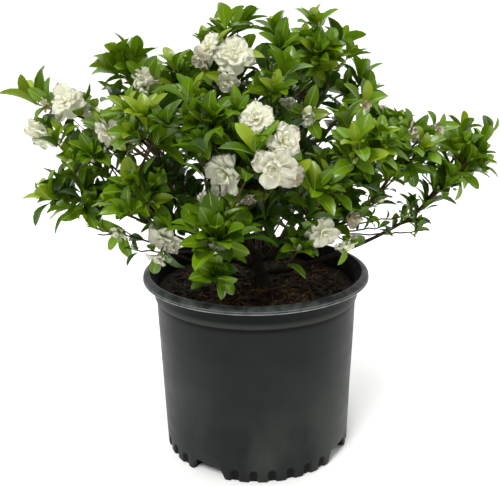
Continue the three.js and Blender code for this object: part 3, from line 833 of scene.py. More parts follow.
class AZALEA_OT_mix(Operator):
    """Fill the can with bark mix and strew chips and fibres over it"""

    bl_idname = "azalea.mix"
    bl_label = "Fill with Bark Mix"

    def execute(self, context):
        settings = context.scene.azalea_mix
        chance = random.Random(settings.seed)
        edge, rings, steps = RIM_RADIUS * BED_SHARE, 44, 180
        points = [(0, 0, MIX_TOP - BED_MIDDLE)]
        for ring in range(1, rings + 1):
            reach = edge * ring / rings
            crown = mixed(MIX_TOP - BED_MIDDLE, MIX_TOP - BED_EDGE, (ring / rings) ** 2)
            for step in range(steps):
                turn = math.tau * step / steps
                x, y = reach * math.cos(turn), reach * math.sin(turn)
                lumps = noise.fractal((x / 22, y / 22, 3.1), 0.9, 2.1, 5) * 3.2
                points.append((x, y, crown + (lumps + noise.noise((x / 5, y / 5, 0)) * 2.0)))
        rim_start = len(points)
        floor = MIX_TOP - BED_FLOOR
        points += [(x, y, floor) for x, y, _ in points[-steps:]] + [(0, 0, floor)]
        faces = [(0, 1 + c, 1 + (c + 1) % steps) for c in range(steps)]
        faces += [tuple(1 + i for i in reversed(face)) for face in grid_faces(rings + 1, steps, closed=True)]
        faces += [(len(points) - 1, rim_start + (c + 1) % steps, rim_start + c) for c in range(steps)]
        bed = mesh_object("bark_bed", points, faces)
        bed.data.materials.append(shredded_bark("damp_bark", settings.dark_colour, settings.colour))
        bed.data.shade_smooth()
        surface = faces[: steps * (rings - 6)]

        # Each sort's size in millimetres, its share of the chips, its two colours and how far its chips tip.
        sorts = (
            ("bark_chips", (16, 4.6, 2.6), 0.36, settings.dark_colour, settings.colour, 0.6),
            ("bark_fibres", (22, 1.7, 1.2), 0.2, settings.colour, settings.light_colour, 0.6),
            ("pale_chips", (10, 3.2, 1.4), 0.08, settings.colour, settings.light_colour, 0.5),
        )
        for number, (name, large, share, dark, light, tilt) in enumerate(sorts):
            shapes = kit(name + "_kit", [chip(chance, large) for _ in range(6)])
            piece = mesh_object(name, points, surface)
            tree = strewn_tree(name, shapes, shredded_bark("composted_" + name, dark, light))
            run_tree(piece, tree, Density=settings.chips * share, Seed=settings.seed + number, Tilt=tilt)
            clear_kit(shapes)
            placed(piece, "mix")
        placed(bed, "mix", "potting_mix")
        return {"FINISHED"}


# ---------------------------------------------------------------- how the shrub grows

LIMBS = sorted(name for name in frame["nodes"] if name.startswith("bough_"))
MASSES = sorted(name for name in frame["nodes"] if name.startswith("foliage_"))
RING_GAP = 10.5  # points of a CAD limb nearer than this belong to one of its rings
UP = np.array([0.0, 0.0, 1.0])
CROWN_MIDDLE = np.array([0.0, 0.0, 330.0])
FORK = np.array([0.0, 0.0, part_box("stem")[1][2] / MM])
HEART = 0.3  # a bloom's middle is this share of its width in front of its shoot's tip

# Blooms on the front of the crown: heading and reach from the can's axis, height, width across, the heading
# and rise that the bloom faces, and its age: 0 fresh, 0.5 greyed as painted shade, 1 faded, 2 wilting.
BLOOMS = {
    "top_front": (-105, 80, 495, 46, -85, 25, 0),
    "top_left": (-130, 80, 502, 42, -140, 35, 0),
    "top_left_low": (-130, 90, 485, 28, -130, -25, 1),
    "crown_inner": (-110, 88, 462, 30, -110, -30, 0),
    "centre_high": (-90, 160, 438, 40, -105, 25, 0),
    "centre_middle": (-80, 172, 416, 40, -60, 20, 0),
    "centre_largest": (-85, 190, 392, 49, -95, -8, 0.5),
    "centre_behind": (-75, 158, 376, 30, -50, -5, 1),
    "centre_side": (-104, 146, 376, 50, -130, -15, 0),
    "centre_low": (-109, 142, 346, 34, -110, -30, 0),
    "centre_under": (-95, 100, 340, 26, -90, -40, 1),
    "front_hidden": (-105, 158, 303, 21, -95, -20, 0),
    "rim_left": (-131, 156, 298, 42, -120, -25, 0.5),
    "rim_left_low": (-130, 164, 282, 27, -120, -50, 0.5),
    "rim_right": (-58, 140, 305, 42, -65, -15, 0),
    "rim_right_low": (-46, 147, 288, 30, -40, -45, 0),
    "right_faded": (-36, 135, 312, 28, -60, -10, 1),
    "far_left_top": (-166, 217, 446, 46, -110, 30, 0),
    "far_left_low": (-168, 248, 404, 48, -120, -35, 0),
    "far_left_tan": (-170, 238, 440, 22, -130, 10, 2),
    "far_left_inner": (-166, 190, 430, 22, -80, -40, 0),
    "left_grey": (-148, 188, 412, 36, -130, -20, 0.5),
    "upper_left_low": (-156, 135, 466, 28, -100, 0, 0),
    "upper_left_inner": (-152, 125, 458, 20, -100, -30, 1),
    "left_inner_low": (-150, 135, 445, 22, -110, -30, 0),
    "top_right_left": (-70, 72, 465, 22, -100, -20, 0),
    "top_right_low": (-66, 88, 437, 28, -80, -10, 0),
    "top_right_inner": (-58, 106, 425, 24, -80, -20, 0),
    "right_shoulder": (-26, 137, 438, 20, -60, 20, 2),
    "right_outer": (-20, 188, 407, 24, -60, 10, 1),
    "far_right_left": (-10, 213, 404, 20, -70, 10, 1),
    "low_left": (-154, 173, 296, 22, -120, -30, 0),
}

# The main shoots of the masses on the front: from the middle of its mass, the heading and rise in degrees in
# which a shoot stands, the size of its leaves as a share of the full length, and how many it has.
SPRAYS = {
    "far_left": ((180, 26, 1.55, 6), (-5, 15, 0.75, 4), (100, -10, 0.7, 4)),
    "upper_left": ((182, 12, 1.15, 8), (170, 60, 1.15, 8), (10, 62, 1.2, 8), (-60, 0, 0.9, 7)),
    "left_inner": ((190, 25, 0.8, 7), (-110, 10, 0.9, 7), (-45, 0, 1.1, 8), (80, 60, 0.8, 7)),
    "left_shoulder": ((-95, 45, 1.2, 9), (-125, 5, 1.0, 8), (180, 15, 0.8, 7), (-60, -20, 1.0, 8)),
    "left_mid": ((-90, 10, 1.05, 9), (185, -10, 1.1, 6), (110, 30, 0.9, 7)),
    "left_low": (
        (190, -35, 1.0, 8), (180, 38, 1.2, 8), (-40, 25, 1.1, 7), (-60, -35, 1.0, 7), (182, 0, 1.1, 7),
    ),
    "left_front": ((-125, 15, 1.05, 7), (-60, 10, 0.95, 7), (-45, -35, 1.1, 6), (-110, 50, 0.9, 6)),
    "low_left": ((-20, 0, 0.45, 4), (180, 20, 0.5, 4)),
    "top": ((185, 0, 0.8, 6), (-5, 35, 1.0, 7), (90, 10, 0.8, 6)),
    "top_bloom": ((-60, 20, 0.5, 4), (90, 50, 0.7, 6)),
    "top_right": ((170, 70, 1.1, 7), (-90, -15, 1.1, 9), (-60, -50, 1.0, 8)),
    "crown_right": (
        (175, 55, 0.9, 7), (-90, 0, 1.05, 9), (-60, 20, 1.0, 9), (-40, -20, 0.9, 8), (-100, -55, 0.9, 8),
    ),
    "right_shoulder": ((200, -10, 0.95, 8), (-60, -30, 0.8, 7)),
    "right_mid": (
        (-100, 30, 1.0, 9), (-40, 40, 0.95, 8), (-60, -10, 1.0, 9), (180, -20, 0.9, 8), (0, 0, 1.1, 9),
        (0, -45, 0.9, 7),
    ),
    "right_outer": (
        (20, 45, 0.85, 6), (-60, 10, 1.15, 9), (-110, 30, 1.0, 8), (-20, -20, 0.9, 7), (-60, -60, 0.9, 7),
    ),
    "far_right": (
        (-115, 35, 1.3, 9), (-40, 20, 1.1, 10), (0, -5, 0.75, 8), (-30, -45, 1.0, 7), (-20, -80, 1.15, 7),
        (180, -25, 0.9, 7),
    ),
    "right_low": ((5, 30, 0.6, 6), (175, 70, 0.8, 6), (-80, -20, 0.45, 5), (-60, -60, 0.5, 5)),
    "right_inner": (
        (-80, -20, 0.6, 6), (0, -40, 0.5, 5), (120, 30, 0.7, 7), (-40, 40, 0.65, 6), (0, 15, 0.85, 7),
        (10, 55, 0.7, 6),
    ),
    "centre_top": ((-90, 20, 0.9, 8), (180, 10, 0.9, 7), (0, -10, 0.9, 8)),
    "centre_left": ((-60, 40, 0.95, 8), (-95, 5, 1.1, 9), (190, 10, 1.05, 9), (-110, -40, 0.9, 8)),
    "centre_low": ((-30, -30, 1.0, 7), (0, 30, 0.9, 7), (190, 20, 0.9, 6)),
    "centre_right": ((-90, 40, 0.85, 8), (-60, 0, 0.85, 8), (0, 20, 0.9, 7)),
    "front_left": ((-90, 5, 1.5, 12), (-85, 60, 1.2, 9), (180, 20, 1.15, 7), (-5, 10, 1.2, 7)),
    "front_sprig": ((-90, -10, 1.1, 6), (-60, -45, 0.85, 5)),
    "front_right": ((-90, 10, 0.9, 8), (180, 50, 0.7, 5)),
}

# Ways through and beside the crown that stay clear of shoots and leaves, so that the sky and the stems show:
# the two ends of each one's line, as headings, reaches and heights, and its radius.
WINDOWS = {
    "beside_the_blooms": ((-123, 202, 406), (134, 224, 351), 20),
    "above_the_far_left": ((-162, 193, 467), (164, 218, 458), 14),
    "left_of_the_top": ((-127, 112, 519), (143, 99, 518), 15),
    "right_of_the_shoulder": ((-15, 156, 448), (37, 232, 431), 12),
    "above_the_far_right": ((-13, 258, 429), (12, 295, 415), 17),
    "beyond_the_far_right": ((-19, 278, 398), (12, 326, 370), 19),
}

# Thin stems that leave the fork low down: the heading, reach and height of each one's tip.
LOW_STEMS = {
    "right_under": (-14, 194, 290),
    "right_middle": (-14, 177, 306),
    "right_near": (-30, 160, 303),
    "left_under": (-140, 170, 289),
}
LOW_STEM_RADIUS = 1.0

# How closely the small shoots fill a mass between its main ones, where it isn't full.
FILLED = {
    "far_left": 0.45, "upper_left": 0.75, "left_mid": 0.85, "left_low": 0.85, "left_front": 0.75,
    "low_left": 0.4, "top": 0.65, "top_right": 0.8, "crown_right": 0.75, "right_shoulder": 0.85,
    "right_low": 0.55, "right_inner": 0.6, "front_left": 0.7, "front_sprig": 0.45, "front_right": 0.6,
}

ROOM = 40000  # the most points that the skeleton may have
STEP = 7  # about how far apart a twig's points are
SCATTER_TRIES = 20000
WHORL_MIDDLE = 18  # the middle of a whorl is this far in front of its shoot's tip


@dataclass(eq=False)
class Shoot:
    """The tip of a shoot: its place and direction, its share of the sky's light, the size and number of its
    leaves, where 0 leaves the number to the rule, and the width and age of its bloom, if it has one.
    """

    at: np.ndarray
    axis: np.ndarray
    light: float
    size: float
    leaves: int = 0
    bloom: tuple = None
    end: int = -1

    @property
    def heart(self):
        """The middle of its bloom."""
        return self.at + self.axis * self.bloom[0] * HEART


def hearts_of(blooms):
    """The middles and the widths of some blooms."""
    return np.array([bloom.heart for bloom in blooms]), np.array([bloom.bloom[0] for bloom in blooms])


def jitter(chance, spread):
    """A random step in any direction."""
    return np.array([chance.gauss(0, spread) for _ in range(3)])


def corners_of(node):
    """The corners of a CAD node in millimetres."""
    return np.array([vertex.co / MM for vertex in frame["nodes"][node].data.vertices])


def in_a_window(spot, chance):
    """Whether a spot lies in one of the ways that stay clear, whose edges are ragged."""
    for front, back, radius in WINDOWS.values():
        start, way = polar(*front), polar(*back) - polar(*front)
        share = min(1, max(0, (spot - start) @ way / (way @ way)))
        if np.linalg.norm(spot - start - way * share) < radius * chance.uniform(0.75, 1.1):
            return True
    return False


def ring_middles(node):
    """The middle and radius of each ring of points that a CAD limb was made from."""
    corners = [tuple(vertex.co) for vertex in frame["nodes"][node].data.vertices]
    points = np.unique(np.round(corners, 5), axis=0) / MM
    left, rings = set(range(len(points))), []
    while left:
        ring = [left.pop()]
        for member in ring:
            near = {i for i in left if math.dist(points[i], points[member]) < RING_GAP}
            left -= near
            ring += sorted(near)
        middle = points[ring].mean(axis=0)
        rings.append((middle, np.linalg.norm(points[ring] - middle, axis=1).mean()))
    return rings


def along_line(rings, start):
    """Rings put in order, nearest to nearest, from the one nearest a starting point."""
    left, line, last = list(rings), [], start
    while left:
        left.sort(key=lambda ring: math.dist(ring[0], last))
        line.append(left.pop(0))
        last = line[-1][0]
    return line


class Skeleton:
    """The wood as it grows: each point's place, root, direction and radius, and each run from root to tip."""

    def __init__(self):
        self.at = np.zeros((ROOM, 3))
        self.flow = np.zeros((ROOM, 3))
        self.root = np.full(ROOM, -1)
        self.thick = np.zeros(ROOM)
        self.count = 0
        self.boughs, self.twigs, self.ends = [], [], []

    def run(self, points, root, radii=None):
        """Grows a run of points from a root, and returns their numbers."""
        numbers = []
        for number, point in enumerate(points):
            here = self.count
            self.count += 1
            self.at[here], self.root[here] = point, root
            self.flow[here] = unit(point - self.at[root]) if root >= 0 else UP
            self.thick[here] = radii[number] if radii is not None else 0
            numbers.append(here)
            root = here
        return numbers

    def nearest(self, point):
        return int(np.argmin(np.linalg.norm(self.at[: self.count] - point, axis=1)))

    def grow(self, root, end, axis, chance):
        """Grows a bending twig from a point of the wood to an end that it meets along an axis."""
        start = self.at[root]
        reach = np.linalg.norm(end - start)
        toward = (end - start) / reach
        leave = unit(0.5 * self.flow[root] + 0.8 * toward) * reach
        arrive = unit(0.75 * axis + 0.5 * toward) * reach
        steps = max(3, round(reach / STEP))
        points = []
        for step in range(1, steps + 1):
            t = step / steps
            bent = (2 * t**3 - 3 * t**2 + 1) * start + (t**3 - 2 * t**2 + t) * leave
            bent = bent + (3 * t**2 - 2 * t**3) * end + (t**3 - t**2) * arrive
            points.append(bent + jitter(chance, 0.55) if step < steps else bent)
        run = self.run(points, root)
        self.twigs.append([root] + run)
        self.ends.append(run[-1])
        return run[-1]

    def reach_for(self, shoot, chance):
        """Joins a shoot to the wood that it costs least to grow from: near, and in line with them both."""
        away = shoot.at - self.at[: self.count]
        span = np.linalg.norm(away, axis=1) + 1e-6
        ahead = (away * self.flow[: self.count]).sum(axis=1) / span
        arriving = (away @ shoot.axis) / span
        cost = span * (1 + 0.9 * (1 - ahead) + 0.9 * (1 - arriving)) + np.where(span < 16, 60, 0)
        return self.grow(int(np.argmin(cost)), shoot.at, shoot.axis, chance)


def seat_boughs(wood, bough_share):
    """Puts the stem and every CAD bough into the skeleton, each from the wood that carries it."""
    low, high = (np.array(corner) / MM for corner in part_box("stem"))
    stem = corners_of("stem")
    foot = stem[stem[:, 2] < low[2] + 1].mean(axis=0)
    fork = stem[stem[:, 2] > high[2] - 1].mean(axis=0)
    flare = (high[0] - low[0]) / 2
    heights = np.linspace(0, 1, 8)
    girths = [flare * mixed(0.6, 1.0, math.exp(-6 * h)) for h in heights]
    wood.boughs.append(wood.run([mixed(foot, fork, h) for h in heights], -1, girths))

    lines = [along_line(ring_middles(node), fork) for node in LIMBS]
    lines.sort(key=lambda line: math.dist(line[0][0], fork))
    for line in lines:
        points = np.array([middle for middle, _ in line])
        radii = np.array([radius for _, radius in line])
        radii[0], radii[-1] = radii[1] * 1.06, radii[-2] * 0.86
        root = wood.nearest(points[0])
        knots = np.vstack([wood.at[root], points])
        thick = np.concatenate([[radii[0] * 1.05], radii])
        stretches = [np.linspace(i, i + 1, 5, endpoint=False) for i in range(len(points))]
        fine = np.concatenate(stretches + [[len(points)]])[1:]
        girth = np.interp(fine, range(len(thick)), thick) * bough_share
        wood.boughs.append([root] + wood.run([spline_point(knots, t) for t in fine], root, girth))


def spline_point(knots, t):
    """A point on the smooth curve through the knots, at knot number t."""
    i = min(int(t), len(knots) - 2)
    t -= i
    before, start, end, after = (knots[min(max(i + k, 0), len(knots) - 1)] for k in (-1, 0, 1, 2))
    return 0.5 * (
        2 * start
        + (end - before) * t
        + (2 * before - 5 * start + 4 * end - after) * t**2
        + (3 * start - before - 3 * end + after) * t**3
    )


def seat_whips(wood, each, chance):
    """Sends thin stems from low on the boughs into every mass, beside the bough that leads to it."""
    above_fork = wood.at[: wood.count, 2] - FORK[2]
    low = np.flatnonzero((above_fork > -8) & (above_fork < 55))
    for node in MASSES:
        corners = corners_of(node)
        middle = corners.mean(axis=0)
        for _ in range(each):
            end = mixed(middle, corners[chance.randrange(len(corners))], chance.uniform(0.2, 0.55))
            way = end - wood.at[low]
            level = unit(way)[:, 2]
            cost = np.linalg.norm(way, axis=1) * (1.6 - (wood.flow[low] * unit(way)).sum(axis=1))
            root = int(low[np.argmin(cost + np.array([chance.uniform(0, 60) for _ in low]) - 40 * level)])
            wood.grow(root, end, unit(0.6 * unit(end - wood.at[root]) + 0.5 * UP), chance)


def low_shoots(wood, chance):
    """Sends the thin low stems out from the fork of the stem, and returns the small shoots at their tips."""
    shoots = []
    for heading, reach, height in LOW_STEMS.values():
        at, outward = polar(heading, reach, height), facing(heading, 14)
        wood.grow(wood.nearest(FORK + outward * 25), at - outward * 20, outward, chance)
        wood.thick[wood.twigs[-1][1:]] = LOW_STEM_RADIUS
        shoots.append(Shoot(at, facing(heading, 35), light=0.7, size=0.5, leaves=5))
    return shoots


def whole_crown():
    """The surface of all the masses together, with the mass that each face is on."""
    points, faces, owners = [], [], []
    for node in MASSES:
        mesh = frame["nodes"][node].data
        mesh.calc_loop_triangles()
        base = len(points)
        points += corners_of(node).tolist()
        faces += [[base + i for i in triangle.vertices] for triangle in mesh.loop_triangles]
        owners += [node] * len(mesh.loop_triangles)
    return points, faces, owners, BVHTree.FromPolygons(points, faces)


def openness(crown, point, axis, chance):
    """How much of the sky round an axis a point sees past the other masses, from 0 to 1."""
    rays, own_mass, far = 10, 38, 220
    clear = 0
    for _ in range(rays):
        way = Vector(axis) + Vector(jitter(chance, 0.6))
        way.normalize()
        if crown.ray_cast(Vector(point) + way * own_mass, way, far)[0] is None:
            clear += 1
    return clear / rays


def main_shoots(crown, chance):
    """The named shoots of the masses, each just inside its mass the way it stands."""
    shoots = []
    for name, sprays in SPRAYS.items():
        corners = corners_of("foliage_" + name)
        middle = corners.mean(axis=0)
        for heading, rise, size, leaves in sprays:
            way = facing(heading, rise)
            reach = np.percentile((corners - middle) @ way, 92)
            # The whorl's leaves take up the rest of the way to the mass's skin.
            at = middle + way * max(0.5 * reach, reach - (23 + 10 * max(0.0, way[2])) * size)
            axis = unit(0.85 * way + 0.55 * UP + jitter(chance, 0.08))
            light = mixed(0.65, 1, openness(crown, at, axis, chance))
            shoots.append(Shoot(at, axis, light, size, leaves))
    return shoots


def scatter_shoots(surface, settings, chance):
    """Scatters shoots a little inside the masses, close together in the light and apart in the shade."""
    points, faces, owners, crown = surface
    corners = np.array([[points[i] for i in face] for face in faces])
    squares = np.cross(corners[:, 1] - corners[:, 0], corners[:, 2] - corners[:, 0])
    areas = np.linalg.norm(squares, axis=1) / 2
    normals = unit(squares)
    spacing = settings.spacing / MM
    picks = np.random.default_rng(settings.seed).choice(len(faces), SCATTER_TRIES, p=areas / areas.sum())
    shoots = main_shoots(crown, chance)
    places = np.array([shoot.at for shoot in shoots])
    claims = np.array([spacing * max(1, 1.25 * shoot.size) for shoot in shoots])
    for pick in picks:
        a, b = sorted((chance.random(), chance.random()))
        spot = corners[pick].T @ np.array([a, b - a, 1 - b])
        out = normals[pick]
        at = spot - out * (chance.uniform(14, 26) + 12 * max(0.0, out[2]))
        axis = unit(0.45 * out + 0.35 * unit(at - CROWN_MIDDLE) + 0.7 * UP + jitter(chance, 0.16))
        light = openness(crown, at, axis, chance)
        filled = FILLED.get(owners[pick].removeprefix("foliage_"), 1.0)
        room = spacing * mixed(1.45, 1.0, light) * (1.25 if out[2] < -0.35 else 1) / filled
        if light < 0.15 and chance.random() < 0.7:
            continue
        if in_a_window(at + axis * WHORL_MIDDLE, chance):
            continue
        if (np.linalg.norm(places - at, axis=1) < np.maximum(claims, room)).any():
            continue
        places, claims = np.vstack([places, at]), np.append(claims, spacing)
        shoots.append(Shoot(at, axis, light, chance.uniform(0.78, 1.12) * min(1, filled + 0.25)))
    return shoots


def inner_shoots(wood, shoots, crown, settings, chance):
    """Short leafy shoots that stand off the boughs inside the crown, where nothing else has the room."""
    places = np.array([shoot.at for shoot in shoots])
    inner = []
    for _ in range(settings.inner_tries):
        here = chance.randrange(wood.count)
        if wood.at[here][2] < MIX_TOP + 90:
            continue
        axis = unit(0.8 * wood.flow[here] + 0.5 * UP + jitter(chance, 0.8))
        at = wood.at[here] + axis * chance.uniform(18, 45)
        if np.linalg.norm(places - at, axis=1).min() < settings.spacing / MM * 1.3:
            continue
        if openness(crown, at, axis, chance) > 0.55:
            continue
        places = np.vstack([places, at])
        inner.append(Shoot(at, axis, light=0.25, size=chance.uniform(0.8, 1.1), leaves=6))
    return inner


@lru_cache(maxsize=1)
def grown_shrub():
    """Grows the whole shrub once: its skeleton, and its leafy shoots and blooms together."""
    scene = bpy.context.scene
    settings = scene.azalea_wood
    chance = random.Random(settings.seed)
    wood = Skeleton()
    seat_boughs(wood, settings.bough_share)
    seat_whips(wood, settings.whips, chance)
    surface = whole_crown()
    shoots = scatter_shoots(surface, settings, chance)
    shoots += inner_shoots(wood, shoots, surface[-1], settings, chance)
    shoots += low_shoots(wood, chance)
    blooms = []
    for heading, reach, height, width, turn, rise, age in BLOOMS.values():
        axis = facing(turn, rise)
        foot = polar(heading, reach, height) - axis * width * HEART
        blooms.append(Shoot(foot, axis, light=1, size=0.9, leaves=7, bloom=(width, age)))
    hidden = [shoot for shoot in shoots if shoot.at[1] > 20 and shoot.light > 0.55]
    for shoot in chance.sample(hidden, min(len(hidden), scene.azalea_blossom.hidden_blooms)):
        shoot.bloom = (chance.uniform(26, 52), chance.choice((0, 0, 0, 1, 1, 2)))
    hearts, widths = hearts_of(blooms)
    shoots = [s for s in shoots if (np.linalg.norm(hearts - s.at, axis=1) > widths * 0.5).all()]
    shoots += blooms
    bare = wood.at[: wood.count]
    shoots.sort(key=lambda shoot: np.linalg.norm(bare - shoot.at, axis=1).min())
    for shoot in shoots:
        shoot.end = wood.reach_for(shoot, chance)

    # Each stretch of wood is as thick as the shoots it carries ask for.
    loads = np.zeros(wood.count)
    loads[wood.ends] = 1
    for here in range(wood.count - 1, 0, -1):
        loads[wood.root[here]] += loads[here]
    slim = settings.twig_radius / MM
    for here in range(wood.count):
        if not wood.thick[here]:
            wood.thick[here] = min(slim * max(1, loads[here]) ** 0.4, wood.thick[wood.root[here]] * 0.97)
    return wood, shoots


# ---------------------------------------------------------------- the wood


def limb_tree(name, material):
    """Draws a round limb along each line of the mesh, as thick as its points say, with ridges in the bark."""
    tree, start, end = new_tree(name, Step=0.003, Sides=12, Relief=0.0006, Ridge=0.012, Material=material)
    size = start.outputs
    lines = add(tree, "GeometryNodeMeshToCurve", size["Geometry"])
    bent = add(tree, "GeometryNodeCurveSplineType", lines, spline_type="CATMULL_ROM")
    even = add(tree, "GeometryNodeResampleCurve", bent, {"Length": size["Step"]}, mode="LENGTH")
    along = add(tree, "GeometryNodeSplineParameter").outputs["Length"]
    told = add(tree, TELL, even, {"Name": "along", "Value": along}, domain="POINT")
    circle = add(tree, "GeometryNodeCurvePrimitiveCircle", {"Resolution": size["Sides"], "Radius": 1.0})
    round_it = add(tree, "GeometryNodeSplineParameter").outputs["Factor"]
    ring = add(tree, TELL, circle, {"Name": "around", "Value": round_it}, domain="POINT")
    thick = add(tree, TOLD, "thick")
    tube = add(tree, "GeometryNodeCurveToMesh", told, ring, {"Scale": thick, "Fill Caps": True})
    here = add(tree, "GeometryNodeInputPosition")
    fine = add(tree, MATH, 1.0, size["Ridge"], operation="DIVIDE")
    ridges = add(tree, NOISE, {"Vector": here, "Scale": fine, "Detail": 4.0, "Roughness": 0.6})
    swing = add(tree, MATH, ridges, 0.5, operation="SUBTRACT")
    height = add(tree, MATH, swing, size["Relief"], operation="MULTIPLY")
    normal = add(tree, "GeometryNodeInputNormal")
    raised = add(tree, VECTOR, normal, {"Scale": height}, operation="SCALE")
    rough = add(tree, "GeometryNodeSetPosition", tube, {"Offset": raised})
    spot = add(tree, JOIN, add(tree, TOLD, "around"), add(tree, TOLD, "along"))
    mapped = add(tree, TELL, rough, {"Name": "UVMap", "Value": spot}, data_type="FLOAT2", domain="CORNER")
    shaded = add(tree, "GeometryNodeSetShadeSmooth", mapped)
    real = add(tree, "GeometryNodeRealizeInstances", shaded)
    wire(tree, end, {0: add(tree, "GeometryNodeSetMaterial", real, {"Material": size["Material"]})})
    return tree


def line_object(name, wood, runs):
    """The runs of a skeleton as separate lines of one mesh, with their radii in metres."""
    points, edges, thick = [], [], []
    for run in runs:
        base = len(points)
        points += [wood.at[i] for i in run]
        thick += [wood.thick[run[1]]] + [wood.thick[i] for i in run[1:]]
        edges += [(base + i, base + i + 1) for i in range(len(run) - 1)]
    return mesh_object(name, points, edges=edges, thick=np.array(thick, float) * MM)


class AZALEA_OT_boughs(Operator):
    """Grow the stem and the boughs with the relief of their bark"""

    bl_idname = "azalea.boughs"
    bl_label = "Grow the Boughs"

    def execute(self, context):
        settings = context.scene.azalea_wood
        wood, _ = grown_shrub()
        boughs = line_object("boughs", wood, wood.boughs)
        tree = limb_tree("bark along boughs", azalea_bark(settings))
        run_tree(boughs, tree, Step=0.003, Sides=14, Relief=settings.relief * 2, Ridge=0.007)
        placed(boughs, "bark", "stem", *LIMBS)
        return {"FINISHED"}


class AZALEA_OT_twigs(Operator):
    """Grow the twigs that carry the shoots"""

    bl_idname = "azalea.twigs"
    bl_label = "Grow the Twigs"

    def execute(self, context):
        settings = context.scene.azalea_wood
        wood, _ = grown_shrub()
        twigs = line_object("twigs", wood, wood.twigs)
        tree = limb_tree("skin along twigs", twig_skin(settings))
        run_tree(twigs, tree, Step=0.006, Sides=6, Relief=settings.relief, Ridge=0.005)
        placed(twigs, "bark")
        return {"FINISHED"}


# ---------------------------------------------------------------- the leaves and the petals

METRE = 1 / MM  # the small shapes are a metre long, and each is dealt out at its own size
LEAF_KINDS = 7
OPEN_LIGHT = 0.3  # a shoot with more light than this bears a full whorl of leaves
YOUNG_FROM, MATURE_FROM = 0.78, 0.43  # how bright a leaf of each sort is at least
PAST_LOW, PAST_HIGH = 4, (4, 4, -3)  # how far leaves may pass the low and the high corner of the CAD's box
OFF_THE_MIX = 4  # how far leaves stay above the mix


def turned_to(along, face):
    """The Euler turn that lays a shape's length along one direction with its upper side towards another."""
    y = Vector(along).normalized()
    x = y.cross(Vector(face)).normalized()
    return tuple(Matrix((x, y, x.cross(y))).transposed().to_euler())


class Deal(list):
    """Small shapes to deal out as one piece: where each one is, its turn, its size, its kind and its tint."""

    def give(self, at, along, face, large, kind, tint):
        self.append((at, turned_to(along, face), large, kind, tint))

    def piece(self, name, shapes, material, rib=None):
        """Deals the shapes out and makes them one mesh."""
        at, turn, large, kind, tint = (np.array(column) for column in zip(*self))
        points = mesh_object(name, at, turn=turn, large=large, kind=kind, tint=tint)
        return run_tree(points, dealt_tree(name + " dealt out", shapes, material, rib or material))


def dealt_tree(name, shapes, material, rib):
    """Puts one of a set of shapes on each point, turned and sized as the point says, and makes them real."""
    tree, start, end = new_tree(name, Shapes=shapes, Material=material, Rib=rib)
    size = start.outputs
    turn = add(tree, TOLD, "turn", data_type="FLOAT_VECTOR")
    some = add(
        tree,
        "GeometryNodeInstanceOnPoints",
        {
            "Points": size["Geometry"],
            "Instance": add(tree, "GeometryNodeCollectionInfo", size["Shapes"], True, True),
            "Pick Instance": True,
            "Instance Index": add(tree, TOLD, "kind", data_type="INT"),
            "Rotation": add(tree, "FunctionNodeEulerToRotation", turn),
            "Scale": add(tree, TOLD, "large"),
        },
    )
    real = add(tree, "GeometryNodeRealizeInstances", some)
    shaded = add(tree, "GeometryNodeSetShadeSmooth", real)
    blades = add(tree, "GeometryNodeSetMaterial", shaded, {"Material": size["Material"]})
    in_rib = add(tree, TOLD, "rib", data_type="BOOLEAN")
    ribs = {0: blades, "Selection": in_rib, "Material": size["Rib"]}
    wire(tree, end, {0: add(tree, "GeometryNodeSetMaterial", ribs)})
    return tree


def leaf_shape(chance, width):
    """One leaf a metre long: widest past its middle, pointed, folded along its midrib and arched back."""
    rows = (0.0, 0.08, 0.24, 0.42, 0.6, 0.78, 0.92, 1.0)
    arch, fold, twist = chance.uniform(0.0, 0.2), chance.uniform(0.25, 0.55), chance.uniform(-0.35, 0.35)
    sweep = chance.uniform(-0.05, 0.05)
    points, along_leaf = [], []
    for along in rows:
        half = width / 2 * (math.sin(math.pi * along**1.3) ** 0.62 if 0 < along < 1 else 0)
        half = max(half, 0.016 * (1 - along) ** 0.5, 0.0015)
        rib = min(0.013 * (1 - 0.6 * along), half * 0.6)
        turn = twist * along
        for side in (-half, -half * 0.55, -rib, rib, half * 0.55, half):
            lift = abs(side) * fold - (abs(side) > rib) * 0.004 + 0.05 * (side / (width / 2)) ** 4 * width
            x = side * math.cos(turn) - lift * math.sin(turn) + sweep * along**2
            z = side * math.sin(turn) + lift * math.cos(turn) - arch * along**2
            points.append((x, along - 0.1 * arch * along**2, z + 0.08 * math.sin(math.pi * along)))
            along_leaf.append(along)
    faces = grid_faces(len(rows), 6)
    return points, faces, {"along": along_leaf, "rib": [number % 5 == 2 for number in range(len(faces))]}


def whorl(shoot, settings, chance):
    """The leaves at a shoot's tip: the youngest upright in the middle, the oldest spread round them."""
    most = settings.per_shoot
    full = chance.randint(most - 3, most) if not shoot.leaves and shoot.light > OPEN_LIGHT else 0
    count = shoot.leaves or full or chance.randint(4, 6)
    first = 3 if shoot.bloom else 0
    spread = chance.uniform(46, 76)
    start = chance.uniform(0, math.tau)
    spray = chance.gauss(0, 0.07)
    for number in range(first, count):
        share = number / (count - 1)
        outward = outward_from(shoot.axis, start + number * GOLDEN)
        lean = math.radians(mixed(12, spread, share**0.75)) + chance.gauss(0, 0.13)
        along, face = leaning(shoot.axis, outward, lean)
        large = settings.length * mixed(0.5, 1.0, share**0.55) * shoot.size * chance.uniform(0.9, 1.1)
        base = shoot.at - shoot.axis * share * 7 * shoot.size + outward * 0.8
        yield base, along + UP * 0.26 * share, face + UP * 0.45, large, 1 - share, spray


